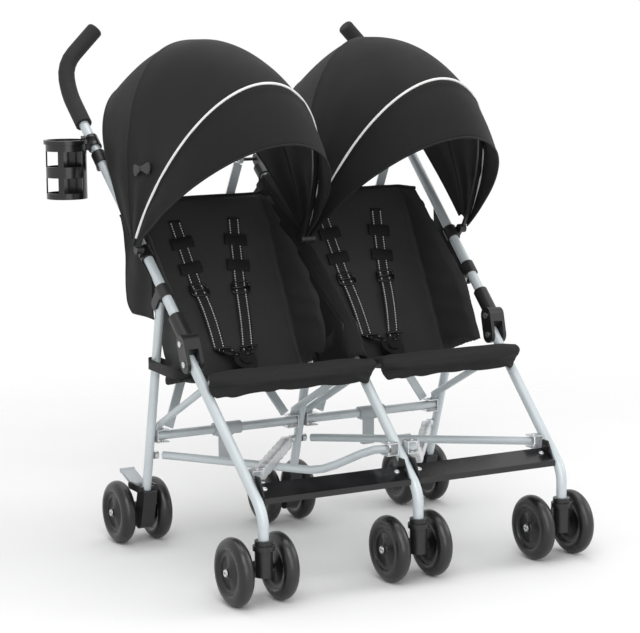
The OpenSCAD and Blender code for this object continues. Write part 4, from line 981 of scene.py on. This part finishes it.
def fold_strap():
    """Webbing loop from the left rear leg to the seat's side, which ties the frame when folded."""
    path = []
    for i in range(61):
        a = 2 * math.pi * i / 60
        c, n = math.cos(a), math.sin(a)
        back = 0.5 + 0.5 * c
        y = FOLD_LEG_Y + 13 * c if c > 0.25 else mix(FOLD_FRONT_Y, FOLD_LEG_Y, back) + 12 * c
        path.append(Vector((FOLD_X - 13.5 * signed_power(n, 0.5), y, mix(FOLD_LOW, FOLD_HIGH, back))))
    strap = ribbon("fold_strap_left", path, Vector((0, 0, 1)), 21, 1.8, WEBBING_PAINTED_SHEEN)
    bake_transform(strap)


def canopy_stay(label):
    """Two-lobed stay on the outside of a canopy, behind its bow."""
    side = SIDES[label]
    turn = 22.0 if side < 0 else 158.0
    lobes = []
    centre = hood_point(side, 9, turn, 5)
    out = Vector((side, 0, 0))
    for n, (angle, swing) in enumerate(((19, 3), (-1, -3))):
        far = hood_point(side, angle, turn + swing, 4)
        path = [mix(centre, far, f) for f in (0, 0.25, 0.5, 0.75, 0.9, 1.0)]
        across, wide = (far - centre).normalized().cross(out), [9, 12, 18, 24, 20, 8]
        lobes.append(ribbon(f"canopy_stay_{label}_{n}", path, across, wide, 4, BLACK_PLASTIC))
    finish(join("canopy_stay_" + label, lobes), "hood_" + label, "black_plastic")


# links and fasteners under the seats

def floor_link(label):
    """Cast zinc link of lobed plates, along the floor brace that runs back to the right."""
    path = []
    for i in range(85):
        u = mix(0.04, 0.96, i / 84)
        if label == "left":
            front_x = BRACE_IN - COL_X - (STRAIGHT_FRONT_Z - BEND_Z) * math.tan(SPLAY)
            front = Vector((front_x, BRACE_FRONT_Y, STRAIGHT_FRONT_Z))
            path.append(mix(front, Vector((-BRACE_IN, BRACE_REAR_Y, BRACE_REAR_Z)), u))
        else:
            z = mix(BRACE_REAR_Z, BENT_FRONT_Z, ease((BENT_SHARE - u) / BENT_SHARE))
            path.append(Vector((mix(BRACE_IN, BRACE_REAR_X, u), mix(BRACE_FRONT_Y, BRACE_REAR_Y, u), z)))
    wide = [19.5 + 6.0 * abs(math.sin(math.pi * i / 12)) ** 0.6 for i in range(85)]
    across = Vector((0, 0, 1))
    link = ribbon("floor_link_" + label, path, across, wide, 18.5, ZINC)
    finish(link, "frame", "zinc")
    face = (path[-1] - path[0]).cross(across).normalized()
    face = face if face.x < 0 else -face
    spots = [(path[i] + face * 9.0, face) for i in (6, 18, 30, 42, 54, 66, 78)]
    screw_heads("floor_link_rivets_" + label, spots, "frame", 0.7)


def strut_shoes():
    """Flattened ends of the seat struts, down to the brackets of the rear cross bars."""
    shoes, across = [], Vector((1, 0, 0))
    for side in SIDES.values():
        for x in STRUT_X:
            path = [Vector((side * x, y, z)) for y, z in SHOE_LINE]
            shoes.append(ribbon(f"strut_shoe_{side * x:.0f}", path, across, [13, 14, 15, 13], 5, FRAME_PAINT))
    finish(join("strut_shoes", shoes), "frame", "frame_paint")


def footrest_screws():
    """Screws that hold the footrests to their ears."""
    spots = [(Vector((side * x, *FOOT_SCREW)), FOOT_FACING) for side in SIDES.values() for x in FOOT_SCREW_X]
    screw_heads("footrest_screws", spots, "frame", 0.8)


# wheels

def wheel(name, cx, cy):
    """Round tyre on a recessed hub, turned about its axle."""
    tread = [mix(-0.26, math.pi / 2, i / TYRE_STEPS) for i in range(TYRE_STEPS + 1)]
    rim = list(HUB_LINE) + [(TYRE_MID + TYRE_HALF * math.sin(a), TYRE_HALF * math.cos(a)) for a in tread]
    ring = rim + [(r, -a) for r, a in reversed(rim[:-1])]
    count = len(ring)
    verts, faces = [], []
    for k in range(WHEEL_TURNS):
        turn = 2 * math.pi * k / WHEEL_TURNS
        c, n = math.cos(turn), math.sin(turn)
        verts += [(cx + a, cy + r * c, WHEEL_R + r * n) for r, a in ring]
        here, then = k * count, (k + 1) % WHEEL_TURNS * count
        faces += [(here + i, here + (i + 1) % count, then + (i + 1) % count, then + i) for i in range(count)]
    material = FRONT_WHEEL if name.startswith("wheel_front") else REAR_WHEEL
    obj = turn_outward(new_piece(name.replace("wheel", "tyre"), verts, faces, material))
    finish(obj, name.replace("wheel", "spin"), "wheel_rubber", name)


# build

for label in SIDES:
    canopy(label)
    back = backrest(label)
    seat(label)
    harness(label, back)
    side_flap(label)
    canopy_stay(label)
    floor_link(label)
middle_cover()
fold_strap()
strut_shoes()
footrest_screws()

for label, column in COLUMNS.items():
    cx, rx = column * COL_X, column * REAR_X
    for tag, k in (("a", -1), ("b", 1)):
        wheel(f"wheel_front_{label}_{tag}", cx + k * FRONT_PAIR, FRONT_AXLE_Y)
        wheel(f"wheel_rear_{label}_{tag}", rx + k * REAR_PAIR, REAR_AXLE_Y)
    screw_heads("front_hub_screws_" + label,
                [((cx + k * (FRONT_PAIR + HUB_OUT), FRONT_AXLE_Y, WHEEL_R), (k, 0, 0)) for k in (-1, 1)],
                "swivel_" + label, HUB_HEAD)
rear_spots = [((column * REAR_X + k * (REAR_PAIR + HUB_OUT), REAR_AXLE_Y, WHEEL_R), (k, 0, 0))
              for column in COLUMNS.values() for k in (-1, 1)]
screw_heads("rear_hub_screws", rear_spots, "rear_frame", HUB_HEAD)
bpy.data.objects.remove(HEAD)


# studio

def studio():
    """Camera of the photograph, white surround, floor and soft lights."""
    scene = bpy.context.scene
    scene.view_settings.view_transform = "Standard"
    az, el, roll = (math.radians(a) for a in (CAMERA_AZ, CAMERA_EL, CAMERA_ROLL))
    look = Vector((-math.sin(az) * math.cos(el), math.cos(az) * math.cos(el), -math.sin(el)))
    right = look.cross(Vector((0, 0, 1))).normalized()
    up = right.cross(look)
    right, up = right * math.cos(roll) + up * math.sin(roll), up * math.cos(roll) - right * math.sin(roll)
    lens = bpy.data.cameras.new("photo_camera")
    lens.lens, lens.sensor_width = CAMERA_LENS, 36.0
    lens.clip_end = 50
    camera = in_scene("photo_camera", lens)
    turned = Matrix((right, up, -look)).transposed().to_4x4()
    camera.matrix_world = Matrix.Translation(Vector(CAMERA_AT) * MM) @ turned
    scene.camera = camera

    floor_material, tree, bsdf = shader("pale_floor")
    shade = grain(tree, 3, 3)
    tint(tree, bsdf, shade, (0.86, 0.86, 0.86), (0.88, 0.88, 0.88))
    fix(bsdf, Roughness=0.9, Specular_IOR_Level=0.2)
    place = node(tree, "ShaderNodeTexCoord")
    reach = node(tree, "ShaderNodeVectorMath", {0: place.outputs["Object"]}, operation="LENGTH")
    near, edge = FLOOR_FADE
    far = node(tree, "ShaderNodeMapRange",
               {"Value": reach.outputs["Value"], "From Min": near, "From Max": edge},
               interpolation_type="SMOOTHSTEP")
    clear = node(tree, "ShaderNodeBsdfTransparent")
    fade = node(tree, "ShaderNodeMixShader",
                {0: far.outputs["Result"], 1: bsdf.outputs[0], 2: clear.outputs[0]})
    tree.links.new(fade.outputs[0], tree.nodes["Material Output"].inputs["Surface"])
    bpy.ops.mesh.primitive_circle_add(vertices=96, radius=FLOOR_R, fill_type="NGON", location=(0, 0, -0.0005))
    floor = bpy.context.object
    floor.name = "studio_floor"
    floor.data.materials.append(floor_material)

    world = bpy.data.worlds.new("studio_world")
    scene.world = world
    world.use_nodes = True
    tree = world.node_tree
    tree.nodes.clear()
    path = node(tree, "ShaderNodeLightPath")
    seen = calc(tree, "ADD", path.outputs["Is Camera Ray"], path.outputs["Is Glossy Ray"])
    seen = calc(tree, "ADD", seen, path.outputs["Is Transmission Ray"], use_clamp=True)
    fill = node(tree, "ShaderNodeBackground", {"Color": (1, 1, 1, 1), "Strength": 0.7})
    white = node(tree, "ShaderNodeBackground", {"Color": (1, 1, 1, 1), "Strength": 1.0})
    both = node(tree, "ShaderNodeMixShader", {0: seen, 1: fill.outputs[0], 2: white.outputs[0]})
    out = node(tree, "ShaderNodeOutputWorld")
    tree.links.new(both.outputs[0], out.inputs["Surface"])

    for name, at, size, power in SOFTBOXES:
        lamp = bpy.data.lights.new(name, "AREA")
        lamp.energy, lamp.size = power, size
        light = in_scene(name, lamp)
        light.location = at
        aim = Vector((0, 0, 0.5)) - Vector(at)
        light.rotation_euler = aim.to_track_quat("-Z", "Y").to_euler()


studio()
